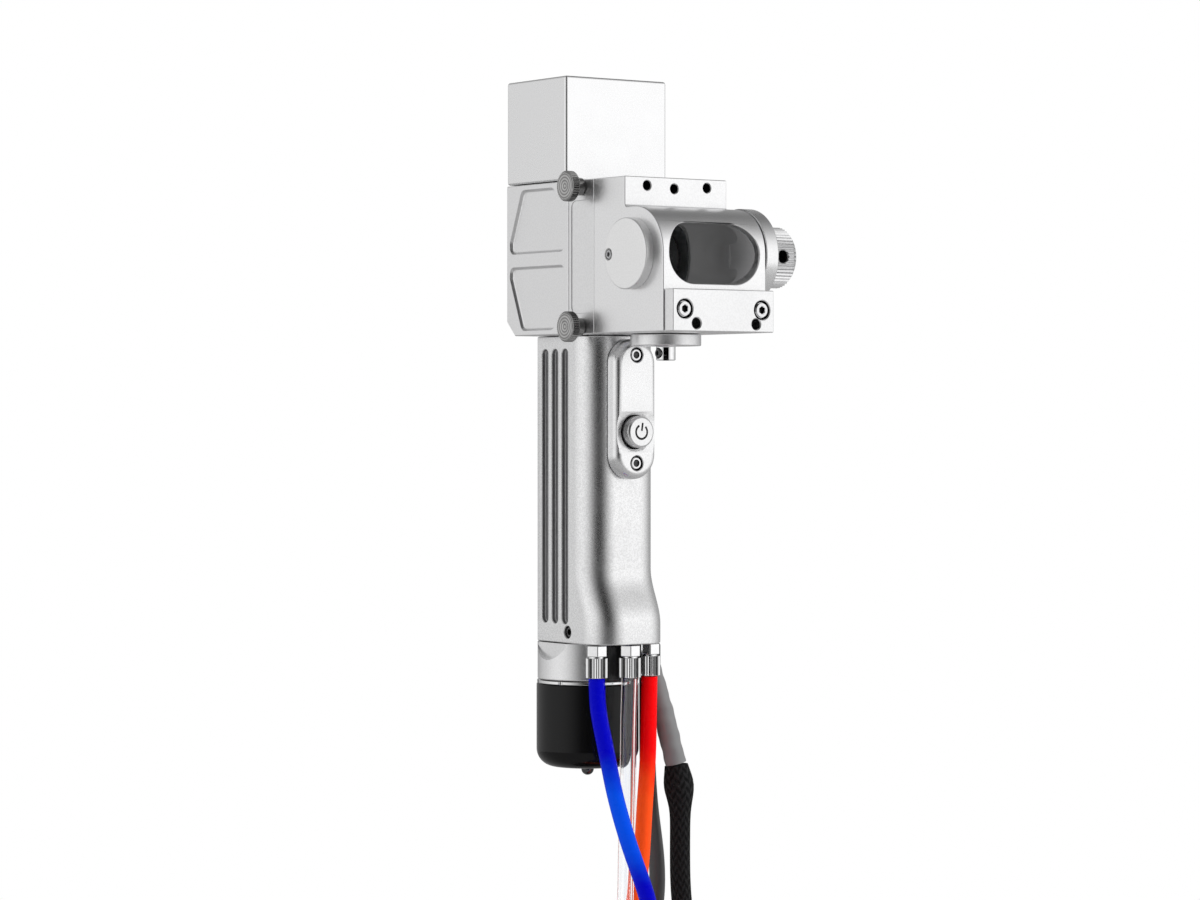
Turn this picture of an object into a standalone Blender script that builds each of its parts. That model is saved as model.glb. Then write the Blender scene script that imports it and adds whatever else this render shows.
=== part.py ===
"""Handheld laser cleaning head, in metres, +Z up.

The beam enters at the bottom through the fibre receptacle, is collimated in the grip, folded forward
(-Y) by a swinging mirror, focused, and leaves through the oblong window of the nose. The lens drawer
opens to the left (-X). The origin is the middle of the grip, on the fibre's axis.
"""
import math

import bmesh
import bpy
import numpy as np
from mathutils import Matrix, Vector

# Clearances and facets
GAP = 0.0003              # between neighbouring solids
OVER = 0.002              # how far a cutter runs past the face that it opens
ROUND = 32                # sides of a turned piece
WIDE_ROUND = 62           # sides of a large shallow cutter, with no corner on its centre line
INNER_ROUND = 20          # sides of a turned piece that stays inside
SMALL_ROUND = 12          # sides of a screw or a small hole
EDGE = 0.0005             # broken edge of machined pieces

# Head: main body and the upper cover
HEAD_HALF_WIDTH = 0.0227
HEAD_BOTTOM = 0.0565
HEAD_HEIGHT = 0.0555
BODY_BACK = 0.0198
BODY_FRONT = -0.0202
REAR_CHAMFER = 0.0053
POCKET_DEPTH = 0.0012
POCKET_WEB = 0.0053       # rib left between the two side pockets
POCKET_BORDER = 0.0021    # from a pocket to the body's top or bottom
POCKET_BACK = 0.0174
POCKET_FRONT = -0.0175
POCKET_SLANT = 0.0076     # how far the rear corner leans in
POCKET_CORNER = 0.0026
COVER_INSET = 0.0001
COVER_FRONT = -0.0184
COVER_HEIGHT = 0.0383
COVER_WALL = 0.0020
COVER_EDGE = 0.0011

# Socket screws: the larger ones of the bar, and the small ones
SCREW_HEAD = 0.00285
SCREW_HEAD_LENGTH = 0.0028
SCREW_SHANK = 0.0015
SMALL_HEAD = 0.0017
SMALL_HEAD_LENGTH = 0.0010
SMALL_SHANK = 0.0009
SMALL_SHANK_LENGTH = 0.0030

# Front block, chamber and window
FLANGE_FRONT = -0.0549
NOSE_AXIS_Y = -0.0610
NOSE_RADIUS = 0.0168
CHAMBER_RADIUS = 0.0142
LINER_WALL = 0.0012
WINDOW_BORDER = 0.0029     # from each side of the block to the window
WINDOW_HEIGHT = 0.0216
BEAM_BORE = 0.0114
FLANGE_HOLE_RADIUS = 0.0017
FLANGE_HOLE_DEPTH = 0.008
FLANGE_HOLES = ((-0.0128, 0.0031), (-0.0008, 0.0039), (0.0138, 0.0031))  # X and drop from the top
BAFFLE_BACK = -0.0380
BAFFLE_LENGTH = 0.0040
BAFFLE_APERTURE = 0.0085

# Side cap, end ring and knob on the cross bore
CAP_RADIUS = 0.0127
CAP_BASE_RADIUS = 0.0134
CAP_BASE = 0.0012
CAP_LENGTH = 0.0038
CAP_SPIGOT = 0.0026
CAP_SCREW_OFFSET = 0.0101
RING_RADIUS = 0.0172
RING_LENGTH = 0.0057
RING_BORE = 0.0053
KNOB_RADIUS = 0.0110
KNOB_LENGTH = 0.0131
KNOB_TEETH = 24
KNOB_HOLE = 0.0023
KNOB_HOLE_DEPTH = 0.0060

# Front bar
BAR_THICKNESS = 0.0049
BAR_INSET = 0.0004         # the bar is this much narrower than the head, each side
BAR_HEIGHT = 0.0149
BAR_SCREW_INSET = 0.0053
BAR_SCREW_RISE = 0.0079
BAR_HOLES_X = (-0.0119, 0.0144)
BAR_HOLE_RISE = 0.0029
BAR_HOLE_RADIUS = 0.0019
BAR_SCREW_DEPTH = 0.0080  # thread length in the block

# Lower clamp
CLAMP_Y = -0.0487
CLAMP_RADIUS = 0.0127
CLAMP_THICKNESS = 0.0041
CLAMP_HUB_RADIUS = 0.0035
CLAMP_HUB_LENGTH = 0.0052
CLAMP_SLIT = 0.0023

# Lens drawer
DRAWER_BACK = BODY_FRONT - GAP
DRAWER_WIDTH = 0.0155
PLATE_THICKNESS = 0.0040
TRAY_THICKNESS = 0.0100
TRAY_BORDER = 0.00855     # from the tray to the head's top and bottom
TRAY_END_WALL = 0.0051
LENS_RADIUS = 0.0150
LENS_THICKNESS = 0.0050
LENS_LIP = 0.0012
LENS_LIP_WIDTH = 0.0020
SEAL_THICKNESS = 0.0012
LABEL_WIDTH = 0.0124
LABEL_BORDER = 0.0075      # from the recess to the plate's ends
LABEL_DEPTH = 0.0003
LABEL_CORNER = 0.0025
THUMB_INSET = 0.00255     # each thumb screw from the plate's end
THUMB_HEAD_RADIUS = 0.0055
THUMB_HEAD_LENGTH = 0.0036
THUMB_NECK_RADIUS = 0.0032
THUMB_NECK_LENGTH = 0.0035
THUMB_SHANK_RADIUS = 0.0020
THUMB_SHANK_LENGTH = 0.0110
THUMB_TEETH = 15

# Scanning mirror, motor and board
MOTOR_RADIUS = 0.0090
MOTOR_DROP = 0.0134       # motor body below the head's top
MOTOR_RISE = 0.0250
MOTOR_FLANGE_RADIUS = 0.0130
MOTOR_FLANGE = 0.0030
SHAFT_RADIUS = 0.0015
SHAFT_LENGTH = 0.0130
HOLDER_RADIUS = 0.0040
MIRROR_HALF_WIDTH = 0.0075
MIRROR_HALF_LENGTH = 0.0095
MIRROR_THICKNESS = 0.0016
MIRROR_CAVITY = 0.0120
BOARD_HALF_WIDTH = 0.0160
BOARD_ROOM = 0.0033       # from the board's upper edge to the cover
BOARD_THICKNESS = 0.0016
BOARD_Y = 0.0145
FOCUS_RADIUS = 0.0123
FOCUS_THICKNESS = 0.0040
FOCUS_SEAT = 0.0110       # from the body's front face to the lens seat
FOCUS_RING = 0.0028

# Grip
GRIP_HALF_HEIGHT = 0.0561
GRIP_BACK_RADIUS = 0.0185
GRIP_HALF_WIDTH = 0.0160
FRONT_EDGE = 0.0110        # radius of the grip's two front edges, and where their centres lie
FRONT_EDGE_Y = -0.0141
SWELL = 0.0060            # how far the lower front of the grip comes forward
SWELL_START = 0.0271      # heights above the grip's lower end, where the swell starts and is full
SWELL_FULL = 0.0071
SWELL_STEPS = 4
FRONT_STEPS = 8
GRIP_BORE = 0.0133
FLUTE_WIDTH = 0.0039
FLUTE_PITCH = 0.00635
FLUTE_DEPTH = 0.0015
FLUTE_CENTRE_Y = -0.0019
FLUTE_END = 0.0071         # from a flute to the grip's lower end
FLUTE_TOP_END = 0.0047
CHANNEL_Y = -0.0184
CHANNEL_RADIUS = 0.0024
GRIP_SCREW_Y = -0.0099
GRIP_SCREW_RISE = 0.0041
GRIP_SCREW_RADIUS = 0.00195
GRIP_SCREW_LENGTH = 0.0044
GRIP_SCREW_SUNK = 0.0008

# Switch plate and button
PLATE_HALF_WIDTH = 0.0095
PLATE_HALF_HEIGHT = 0.0255
PLATE_CENTRE_Z = 0.0295
PLATE_FRONT = -0.0315
PLATE_BACK = -0.0180       # behind the saddle, where the plate's cutters end
PLATE_SHOULDER = 0.0027
SCOOP_RADIUS = 0.0338
SCOOP_DEPTH = 0.0009
BUTTON_Z = 0.0212
BUTTON_RADIUS = 0.00575
BUTTON_HOLE = 0.0063
BUTTON_STAND = 0.0025     # how far the button's face stands out of the plate
BUTTON_LENGTH = 0.0045
BUTTON_STEM_RADIUS = 0.0025
BUTTON_STEM = 0.0045
SWITCH_RADIUS = 0.0060
SWITCH_FRONT = -0.0232
SWITCH_LENGTH = 0.0066
PLATE_SCREW_INSET = 0.00585  # each plate screw from the plate's end
PLATE_SCREW_HEAD = 0.0023
PLATE_SCREW_SEAT = 0.0014
PLATE_SCREW_REACH = 0.0098  # from the plate's front to the end of the thread

# Collimator and fibre receptacle
BARREL_RADIUS = GRIP_BORE - GAP
BARREL_RISE = 0.0166       # from the grip's lower end to the barrel
BARREL_LENS_Z = 0.0080
BARREL_BORE = 0.0090
COLLIMATOR_RADIUS = 0.0106
COLLIMATOR_EDGE = 0.0030
COLLIMATOR_CROWN = 0.0020
COLLIMATOR_RING = 0.0040
COLLAR_RADIUS = 0.0185
COLLAR_LENGTH = 0.0136
SOCKET_RADIUS = 0.0113
FLAT_RUNOUT_RADIUS = 0.0106
FLAT_RUNOUT_RISE = 0.0041
LOCK_RING_RADIUS = 0.0187
LOCK_RING_BORE = 0.0135
LOCK_RING_LENGTH = 0.0018
LOCK_RING_NOTCHES = 8
DUST_CAP_RADIUS = 0.0189
DUST_CAP_LENGTH = 0.0300
DUST_CAP_CORNER = 0.0066
DUST_PLUG_RADIUS = 0.0108
DUST_PLUG_LENGTH = 0.0145
STUD_RADIUS = 0.0023
STUD_LENGTH = 0.0032
STUD_SHANK_RADIUS = 0.0012
STUD_SHANK_LENGTH = 0.0060

# Hose fittings and cable exits
FITTINGS = (("blue", -0.0118, -0.0225), ("clear", -0.0005, -0.0274), ("red", 0.0119, -0.0225))
HEX_RADIUS = 0.0040
HEX_LENGTH = 0.0040
SLEEVE_RADIUS = 0.0039
SLEEVE_LENGTH = 0.0078
SLEEVE_TEETH = 12
ENTRY_HALF_WIDTH = 0.0070
ENTRY_DEPTH = 0.0040
ENTRY_HEIGHT = 0.0134
OUTLET_ANGLE = math.radians(-20)
OUTLET_REACH = 0.0084
OUTLET_HALF_WIDTH = 0.0038
OUTLET_HEIGHT = 0.0120
OUTLET_DROP = 0.0012      # below the grip's lower end

# Cords, and the hanks that hold the length that hangs below
HOSE_DIAMETER = 0.0060
BRAID_DIAMETER = 0.0076
HANK_DROP = 0.1739        # from the grip's lower end to the top of the straight runs
HANK_FRONT = -0.0800
HANK_SPACE = 0.0006
TIE_WIDTH = 0.0200
TIE_THICKNESS = 0.0020
TIE_DROP = 0.0580          # from the top of the straight runs to the tie

# Colour, metallic and roughness of each finish
SATIN = ((0.62, 0.62, 0.63), 1.0, 0.42)
BRIGHT = ((0.75, 0.75, 0.76), 1.0, 0.18)
STEEL = ((0.33, 0.33, 0.34), 1.0, 0.35)
BLACK_METAL = ((0.035, 0.035, 0.037), 1.0, 0.5)
BLACK_GLOSS = ((0.008, 0.008, 0.009), 0.0, 0.12)
GLASS = ((0.85, 0.93, 0.95), 0.0, 0.02)
MIRROR = ((0.9, 0.85, 0.7), 1.0, 0.03)
BOARD = ((0.02, 0.20, 0.08), 0.0, 0.5)
SEAL = ((0.30, 0.06, 0.04), 0.0, 0.7)
PLASTIC = ((0.03, 0.03, 0.032), 0.0, 0.5)
SHRINK = ((0.35, 0.35, 0.36), 0.0, 0.5)
GREY_CABLE = ((0.08, 0.08, 0.085), 0.0, 0.5)
BRAID = ((0.02, 0.02, 0.022), 0.0, 0.8)
BLUE = ((0.0, 0.02, 0.6), 0.0, 0.2)
RED = ((0.8, 0.02, 0.01), 0.0, 0.2)
CLEAR = ((0.8, 0.8, 0.8), 0.0, 0.1)

# Places worked out from the sizes above
HEAD_TOP = HEAD_BOTTOM + HEAD_HEIGHT
BEAM_Z = HEAD_BOTTOM + HEAD_HEIGHT / 2
NOSE_FRONT = NOSE_AXIS_Y - NOSE_RADIUS
WINDOW_WIDTH = (HEAD_HALF_WIDTH - WINDOW_BORDER) * 2
BOARD_HEIGHT = COVER_HEIGHT - COVER_WALL - BOARD_ROOM
BAR_BACK = NOSE_FRONT - GAP
BAR_FRONT = BAR_BACK - BAR_THICKNESS
BAR_HALF_WIDTH = HEAD_HALF_WIDTH - BAR_INSET
BAR_SCREW_X = BAR_HALF_WIDTH - BAR_SCREW_INSET
DRAWER_FRONT = DRAWER_BACK - DRAWER_WIDTH
DRAWER_Y = (DRAWER_BACK + DRAWER_FRONT) / 2
TRAY_FRONT = DRAWER_Y - TRAY_THICKNESS / 2
TRAY_BACK = DRAWER_Y + TRAY_THICKNESS / 2
TRAY_HALF_HEIGHT = HEAD_HEIGHT / 2 - TRAY_BORDER
TRAY_END = HEAD_HALF_WIDTH - TRAY_END_WALL
LABEL_HEIGHT = HEAD_HEIGHT - LABEL_BORDER * 2
THUMB_SPREAD = HEAD_HEIGHT / 2 - THUMB_INSET
PLATE_INNER = -HEAD_HALF_WIDTH + PLATE_THICKNESS
LENS_BACK = TRAY_BACK - LENS_LIP - GAP
THUMB_END = -HEAD_HALF_WIDTH + THUMB_SHANK_LENGTH
CHAMBER_INNER = CHAMBER_RADIUS - GAP - LINER_WALL
GRIP_TOP = HEAD_BOTTOM - GAP
GRIP_BOTTOM = -GRIP_HALF_HEIGHT
SWELL_TOP = GRIP_BOTTOM + SWELL_START
SWELL_BOTTOM = GRIP_BOTTOM + SWELL_FULL
FLUTE_BOTTOM = GRIP_BOTTOM + FLUTE_END
FLUTE_TOP = GRIP_TOP - FLUTE_TOP_END
GRIP_SCREW_Z = GRIP_BOTTOM + GRIP_SCREW_RISE
BARREL_BOTTOM = GRIP_BOTTOM + BARREL_RISE
FLAT_RUNOUT_Z = GRIP_BOTTOM + FLAT_RUNOUT_RISE
COLLAR_TOP = GRIP_BOTTOM - GAP
COLLAR_BOTTOM = COLLAR_TOP - COLLAR_LENGTH
LOCK_TOP = COLLAR_BOTTOM - GAP
LOCK_BOTTOM = LOCK_TOP - LOCK_RING_LENGTH
DUST_TOP = LOCK_BOTTOM - GAP
DUST_BOTTOM = DUST_TOP - DUST_CAP_LENGTH
MOTOR_BOTTOM = HEAD_TOP - MOTOR_DROP
FITTING_TOP = GRIP_BOTTOM - GAP
FITTING_BOTTOM = FITTING_TOP - HEX_LENGTH - SLEEVE_LENGTH
OUTLET_RADIUS = COLLAR_RADIUS + GAP + OUTLET_REACH / 2
OUTLET_X = OUTLET_RADIUS * math.cos(OUTLET_ANGLE)
OUTLET_Y = OUTLET_RADIUS * math.sin(OUTLET_ANGLE)
OUTLET_BOTTOM = GRIP_BOTTOM - OUTLET_DROP - OUTLET_HEIGHT
HOSE_START = FITTING_BOTTOM - GAP
HANK_TOP = GRIP_BOTTOM - HANK_DROP
PLATE_SCREW_RISE = PLATE_HALF_HEIGHT - PLATE_SCREW_INSET
TIE_Z = HANK_TOP - TIE_DROP

AXES = {"X": Vector((1, 0, 0)), "Y": Vector((0, 1, 0)), "Z": Vector((0, 0, 1))}


def remove_everything():
    for thing in list(bpy.data.objects):
        bpy.data.objects.remove(thing, do_unlink=True)


def add_finish(thing, finish):
    colour, metallic, roughness = finish
    material = bpy.data.materials.new(f"{thing.name}_finish")
    material.use_nodes = True
    shader = material.node_tree.nodes["Principled BSDF"]
    shader.inputs["Base Color"].default_value = (*colour, 1)
    shader.inputs["Metallic"].default_value = metallic
    shader.inputs["Roughness"].default_value = roughness
    material.diffuse_color = (*colour, 1)
    thing.data.materials.append(material)


def as_object(name, mesh_edit, finish=None, smooth=False):
    """Turn an edited mesh into an object; one without a finish is a cutter."""
    bmesh.ops.recalc_face_normals(mesh_edit, faces=mesh_edit.faces)
    mesh = bpy.data.meshes.new(name)
    mesh_edit.to_mesh(mesh)
    mesh_edit.free()
    thing = bpy.data.objects.new(name, mesh)
    bpy.context.scene.collection.objects.link(thing)
    if smooth:
        mesh.shade_smooth()
        mesh.set_sharp_from_angle(angle=math.radians(35))
    if finish:
        add_finish(thing, finish)
    else:
        thing.hide_render = True
        thing.display_type = "WIRE"
    return thing


def in_space(axis, along, across):
    """Point at a distance along an axis and at two coordinates across it, in X, Y, Z order."""
    if axis == "X":
        return Vector((along, across[0], across[1]))
    if axis == "Y":
        return Vector((across[0], along, across[1]))
    return Vector((across[0], across[1], along))


def block(name, low, high, finish=None):
    edit = bmesh.new()
    bmesh.ops.create_cube(edit, size=1)
    low, high = Vector(low), Vector(high)
    bmesh.ops.scale(edit, vec=high - low, verts=edit.verts)
    bmesh.ops.translate(edit, vec=(low + high) / 2, verts=edit.verts)
    return as_object(name, edit, finish)


def prism(name, outline, axis, start, end, finish=None, smooth=False):
    """Closed outline, given across the axis, extruded from start to end along it."""
    edit = bmesh.new()
    face = edit.faces.new([edit.verts.new(in_space(axis, start, point)) for point in outline])
    moved = bmesh.ops.extrude_face_region(edit, geom=[face])["geom"]
    corners = [part for part in moved if isinstance(part, bmesh.types.BMVert)]
    bmesh.ops.translate(edit, vec=AXES[axis] * (end - start), verts=corners)
    return as_object(name, edit, finish, smooth)


def turned(name, profile, axis, centre, finish=None, ring=False, sides=ROUND):
    """Profile of (radius, place along the axis) spun about an axis through centre.

    A ring's profile is a closed loop; any other starts and ends on the axis.
    """
    edit = bmesh.new()
    verts = [edit.verts.new(in_space(axis, along, (centre[0] + radius, centre[1])))
             for radius, along in profile]
    count = len(verts)
    legs = count if ring else count - 1
    edges = [edit.edges.new((verts[i], verts[(i + 1) % count])) for i in range(legs)]
    bmesh.ops.spin(edit, geom=verts + edges, cent=in_space(axis, 0, centre), axis=AXES[axis],
                   angle=math.tau, steps=sides, use_merge=True)
    bmesh.ops.remove_doubles(edit, verts=edit.verts, dist=1e-6)
    return as_object(name, edit, finish, smooth=True)


def rod(name, axis, centre, radius, start, end, finish=None, sides=SMALL_ROUND):
    profile = [(0, start), (radius, start), (radius, end), (0, end)]
    return turned(name, profile, axis, centre, finish, sides=sides)


def loop_points(shape, radius, depth, count):
    """Loop of count points: round, hexagonal, or with straight teeth cut to a depth."""
    points = []
    for i in range(count):
        angle = math.tau * i / count
        if shape == "hex":
            reach = radius / math.cos((angle + math.pi / 6) % (math.pi / 3) - math.pi / 6)
        elif shape == "teeth":
            reach = radius - depth * (i % 2)
        else:
            reach = radius
        points.append((reach * math.cos(angle), reach * math.sin(angle)))
    return points


def stacked(name, sections, axis, centre, finish, count):
    """Loft through sections of (place along the axis, shape, radius, tooth depth), capped at both ends."""
    edit = bmesh.new()
    loops = []
    for along, shape, radius, depth in sections:
        points = [(centre[0] + a, centre[1] + b) for a, b in loop_points(shape, radius, depth, count)]
        loops.append([edit.verts.new(in_space(axis, along, point)) for point in points])
    for first, second in zip(loops, loops[1:]):
        for i in range(count):
            j = (i + 1) % count
            edit.faces.new((first[i], first[j], second[j], second[i]))
    edit.faces.new(loops[0])
    edit.faces.new(loops[-1])
    return as_object(name, edit, finish, smooth=True)


def boolean(thing, tool, operation):
    change = thing.modifiers.new(tool.name, "BOOLEAN")
    change.operation = operation
    change.object = tool
    change.solver = "EXACT"


def cut(thing, *cutters):
    for cutter in cutters:
        boolean(thing, cutter, "DIFFERENCE")


def soften(thing, width, segments=1, angle=40):
    """Bevel the edges that are sharper than an angle."""
    change = thing.modifiers.new("soft_edges", "BEVEL")
    change.width = width
    change.segments = segments
    change.limit_method = "ANGLE"
    change.angle_limit = math.radians(angle)


def put_origin(thing, place):
    thing.data.transform(Matrix.Translation(-Vector(place)))
    thing.location = place


def carry(carrier, *things):
    """Parent things to a carrier without moving them."""
    for thing in things:
        thing.parent = carrier
        thing.matrix_parent_inverse = Matrix.Translation(carrier.location).inverted()


def arc(centre, radius, start, end, steps):
    """Points of an arc, angles in degrees."""
    points = []
    for i in range(steps + 1):
        angle = math.radians(start + (end - start) * i / steps)
        points.append((centre[0] + radius * math.cos(angle), centre[1] + radius * math.sin(angle)))
    return points


def rounded(corners, radius, steps=3):
    """Outline with every corner replaced by an arc of the given radius."""
    outline = []
    count = len(corners)
    for i in range(count):
        before, here, after = (Vector(corners[(i + k) % count]) for k in (-1, 0, 1))
        to_before, to_after = (before - here).normalized(), (after - here).normalized()
        half = to_before.angle(to_after) / 2
        reach = min(radius / math.tan(half), (before - here).length / 2, (after - here).length / 2)
        true_radius = reach * math.tan(half)
        centre = here + (to_before + to_after).normalized() * (true_radius / math.sin(half))
        first, last = here + to_before * reach - centre, here + to_after * reach - centre
        turn = first.angle_signed(last)
        for k in range(steps + 1):
            outline.append(tuple(centre + Matrix.Rotation(-turn * k / steps, 2) @ first))
    return outline


def stadium(centre, half_width, half_height, steps=8):
    """Upright or lying outline with round ends."""
    radius = min(half_width, half_height)
    dx, dz = half_width - radius, half_height - radius
    if dz > dx:
        return (arc((centre[0], centre[1] + dz), radius, 0, 180, steps)
                + arc((centre[0], centre[1] - dz), radius, 180, 360, steps))
    return (arc((centre[0] + dx, centre[1]), radius, -90, 90, steps)
            + arc((centre[0] - dx, centre[1]), radius, 90, 270, steps))


# Main body and cover

def pocket_outline(upper):
    """Side pocket in (Y, Z); the lower one is the upper one mirrored about the beam's height."""
    web, rim = POCKET_WEB / 2, HEAD_HEIGHT / 2 - POCKET_BORDER
    lean = POCKET_CORNER * 1.6
    corners = [(POCKET_FRONT, web), (POCKET_BACK, web), (POCKET_BACK, web + lean),
               (POCKET_BACK - POCKET_SLANT, rim), (POCKET_FRONT + POCKET_SLANT, rim),
               (POCKET_FRONT, rim - POCKET_SLANT)]
    side = 1 if upper else -1
    return rounded([(y, BEAM_Z + side * z) for y, z in corners], POCKET_CORNER)


def main_body():
    chamfer = [(BODY_BACK, HEAD_BOTTOM + REAR_CHAMFER), (BODY_BACK - REAR_CHAMFER, HEAD_BOTTOM)]
    outline = chamfer + [(BODY_FRONT, HEAD_BOTTOM), (BODY_FRONT, HEAD_TOP), (BODY_BACK, HEAD_TOP)]
    body = prism("main_body", outline, "X", -HEAD_HALF_WIDTH, HEAD_HALF_WIDTH, SATIN)
    soften(body, EDGE)
    for side, label in ((-1, "left"), (1, "right")):
        for upper in (True, False):
            floor = side * (HEAD_HALF_WIDTH - POCKET_DEPTH)
            mouth = side * (HEAD_HALF_WIDTH + OVER)
            cut(body, prism(f"cut_pocket_{label}_{upper}", pocket_outline(upper), "X", floor, mouth))
    cut(body, rod("cut_mirror_cavity", "Z", (0, 0), MIRROR_CAVITY, HEAD_BOTTOM - OVER,
                  MOTOR_BOTTOM - GAP, sides=ROUND))
    cut(body, rod("cut_motor_bore", "Z", (0, 0), MOTOR_RADIUS + GAP, BEAM_Z, HEAD_TOP + OVER, sides=ROUND))
    seat = BODY_FRONT + FOCUS_SEAT
    cut(body, rod("cut_beam_way", "Y", (0, BEAM_Z), BEAM_BORE, BODY_FRONT - OVER, 0, sides=ROUND))
    cut(body, rod("cut_focus_seat", "Y", (0, BEAM_Z), FOCUS_RADIUS + GAP, BODY_FRONT - OVER, seat,
                  sides=ROUND))


def galvo_cover():
    half = HEAD_HALF_WIDTH - COVER_INSET
    bottom, top = HEAD_TOP + GAP, HEAD_TOP + COVER_HEIGHT
    cover = block("galvo_cover", (-half, COVER_FRONT, bottom), (half, BODY_BACK, top), SATIN)
    soften(cover, COVER_EDGE, segments=2)
    low = (-half + COVER_WALL, COVER_FRONT + COVER_WALL, bottom - OVER)
    high = (half - COVER_WALL, BODY_BACK - COVER_WALL, top - COVER_WALL)
    cut(cover, block("cut_cover_inside", low, high))


def scanner():
    """Galvo motor in the body's upper bore, and the mirror that it swings on the beam's axis."""
    seat = HEAD_TOP + GAP
    shaft_top = MOTOR_BOTTOM + SHAFT_LENGTH * 0.75
    turned("galvo_motor", [
        (0, shaft_top + GAP), (SHAFT_RADIUS + GAP, shaft_top + GAP), (SHAFT_RADIUS + GAP, MOTOR_BOTTOM),
        (MOTOR_RADIUS, MOTOR_BOTTOM), (MOTOR_RADIUS, seat), (MOTOR_FLANGE_RADIUS, seat),
        (MOTOR_FLANGE_RADIUS, seat + MOTOR_FLANGE), (MOTOR_RADIUS, seat + MOTOR_FLANGE),
        (MOTOR_RADIUS, HEAD_TOP + MOTOR_RISE), (0, HEAD_TOP + MOTOR_RISE)], "Z", (0, 0), BLACK_METAL,
        sides=INNER_ROUND)
    holder_top = shaft_top - SHAFT_LENGTH
    shaft = turned("galvo_shaft", [
        (0, BEAM_Z - HOLDER_RADIUS), (HOLDER_RADIUS, BEAM_Z - HOLDER_RADIUS), (HOLDER_RADIUS, holder_top),
        (SHAFT_RADIUS, holder_top), (SHAFT_RADIUS, shaft_top), (0, shaft_top)],
        "Z", (0, 0), STEEL, sides=SMALL_ROUND)
    tilt = Matrix.Translation((0, 0, BEAM_Z)) @ Matrix.Rotation(math.radians(-45), 4, "X")
    reach = HOLDER_RADIUS * 3
    wedge = block("cut_holder_slant", (-reach, -reach, -reach * 2), (reach, reach, MIRROR_THICKNESS + GAP))
    wedge.data.transform(tilt)
    cut(shaft, wedge)
    mirror = block("galvo_mirror", (-MIRROR_HALF_WIDTH, -MIRROR_HALF_LENGTH, 0),
                   (MIRROR_HALF_WIDTH, MIRROR_HALF_LENGTH, MIRROR_THICKNESS), MIRROR)
    mirror.data.transform(tilt)
    carry(shaft, mirror)


def driver_board():
    bottom = HEAD_TOP + GAP
    board = block("driver_board", (-BOARD_HALF_WIDTH, BOARD_Y, bottom),
                  (BOARD_HALF_WIDTH, BOARD_Y + BOARD_THICKNESS, bottom + BOARD_HEIGHT), BOARD)
    half = BOARD_HALF_WIDTH / 2
    header = block("add_board_header", (-half, BOARD_Y - BOARD_THICKNESS * 2, bottom + BOARD_HEIGHT * 0.8),
                   (half, BOARD_Y + BOARD_THICKNESS / 2, bottom + BOARD_HEIGHT * 0.95))
    boolean(board, header, "UNION")


def focus_optics():
    seat = BODY_FRONT + FOCUS_SEAT - GAP
    front = seat - FOCUS_THICKNESS
    crown = FOCUS_THICKNESS / 4
    turned("focus_lens", [(0, seat), (FOCUS_RADIUS, seat), (FOCUS_RADIUS, front + crown),
                          (FOCUS_RADIUS * 0.74, front + crown), (FOCUS_RADIUS * 0.4, front + crown * 0.3),
                          (0, front)], "Y", (0, BEAM_Z), GLASS, sides=INNER_ROUND)
    ring = front + crown - GAP
    turned("focus_lens_ring", [(FOCUS_RADIUS, ring), (FOCUS_RADIUS, ring - FOCUS_RING),
                               (BEAM_BORE - OVER, ring - FOCUS_RING), (BEAM_BORE - OVER, ring)],
           "Y", (0, BEAM_Z), BLACK_METAL, ring=True, sides=INNER_ROUND)


# Front block and what it holds

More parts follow.
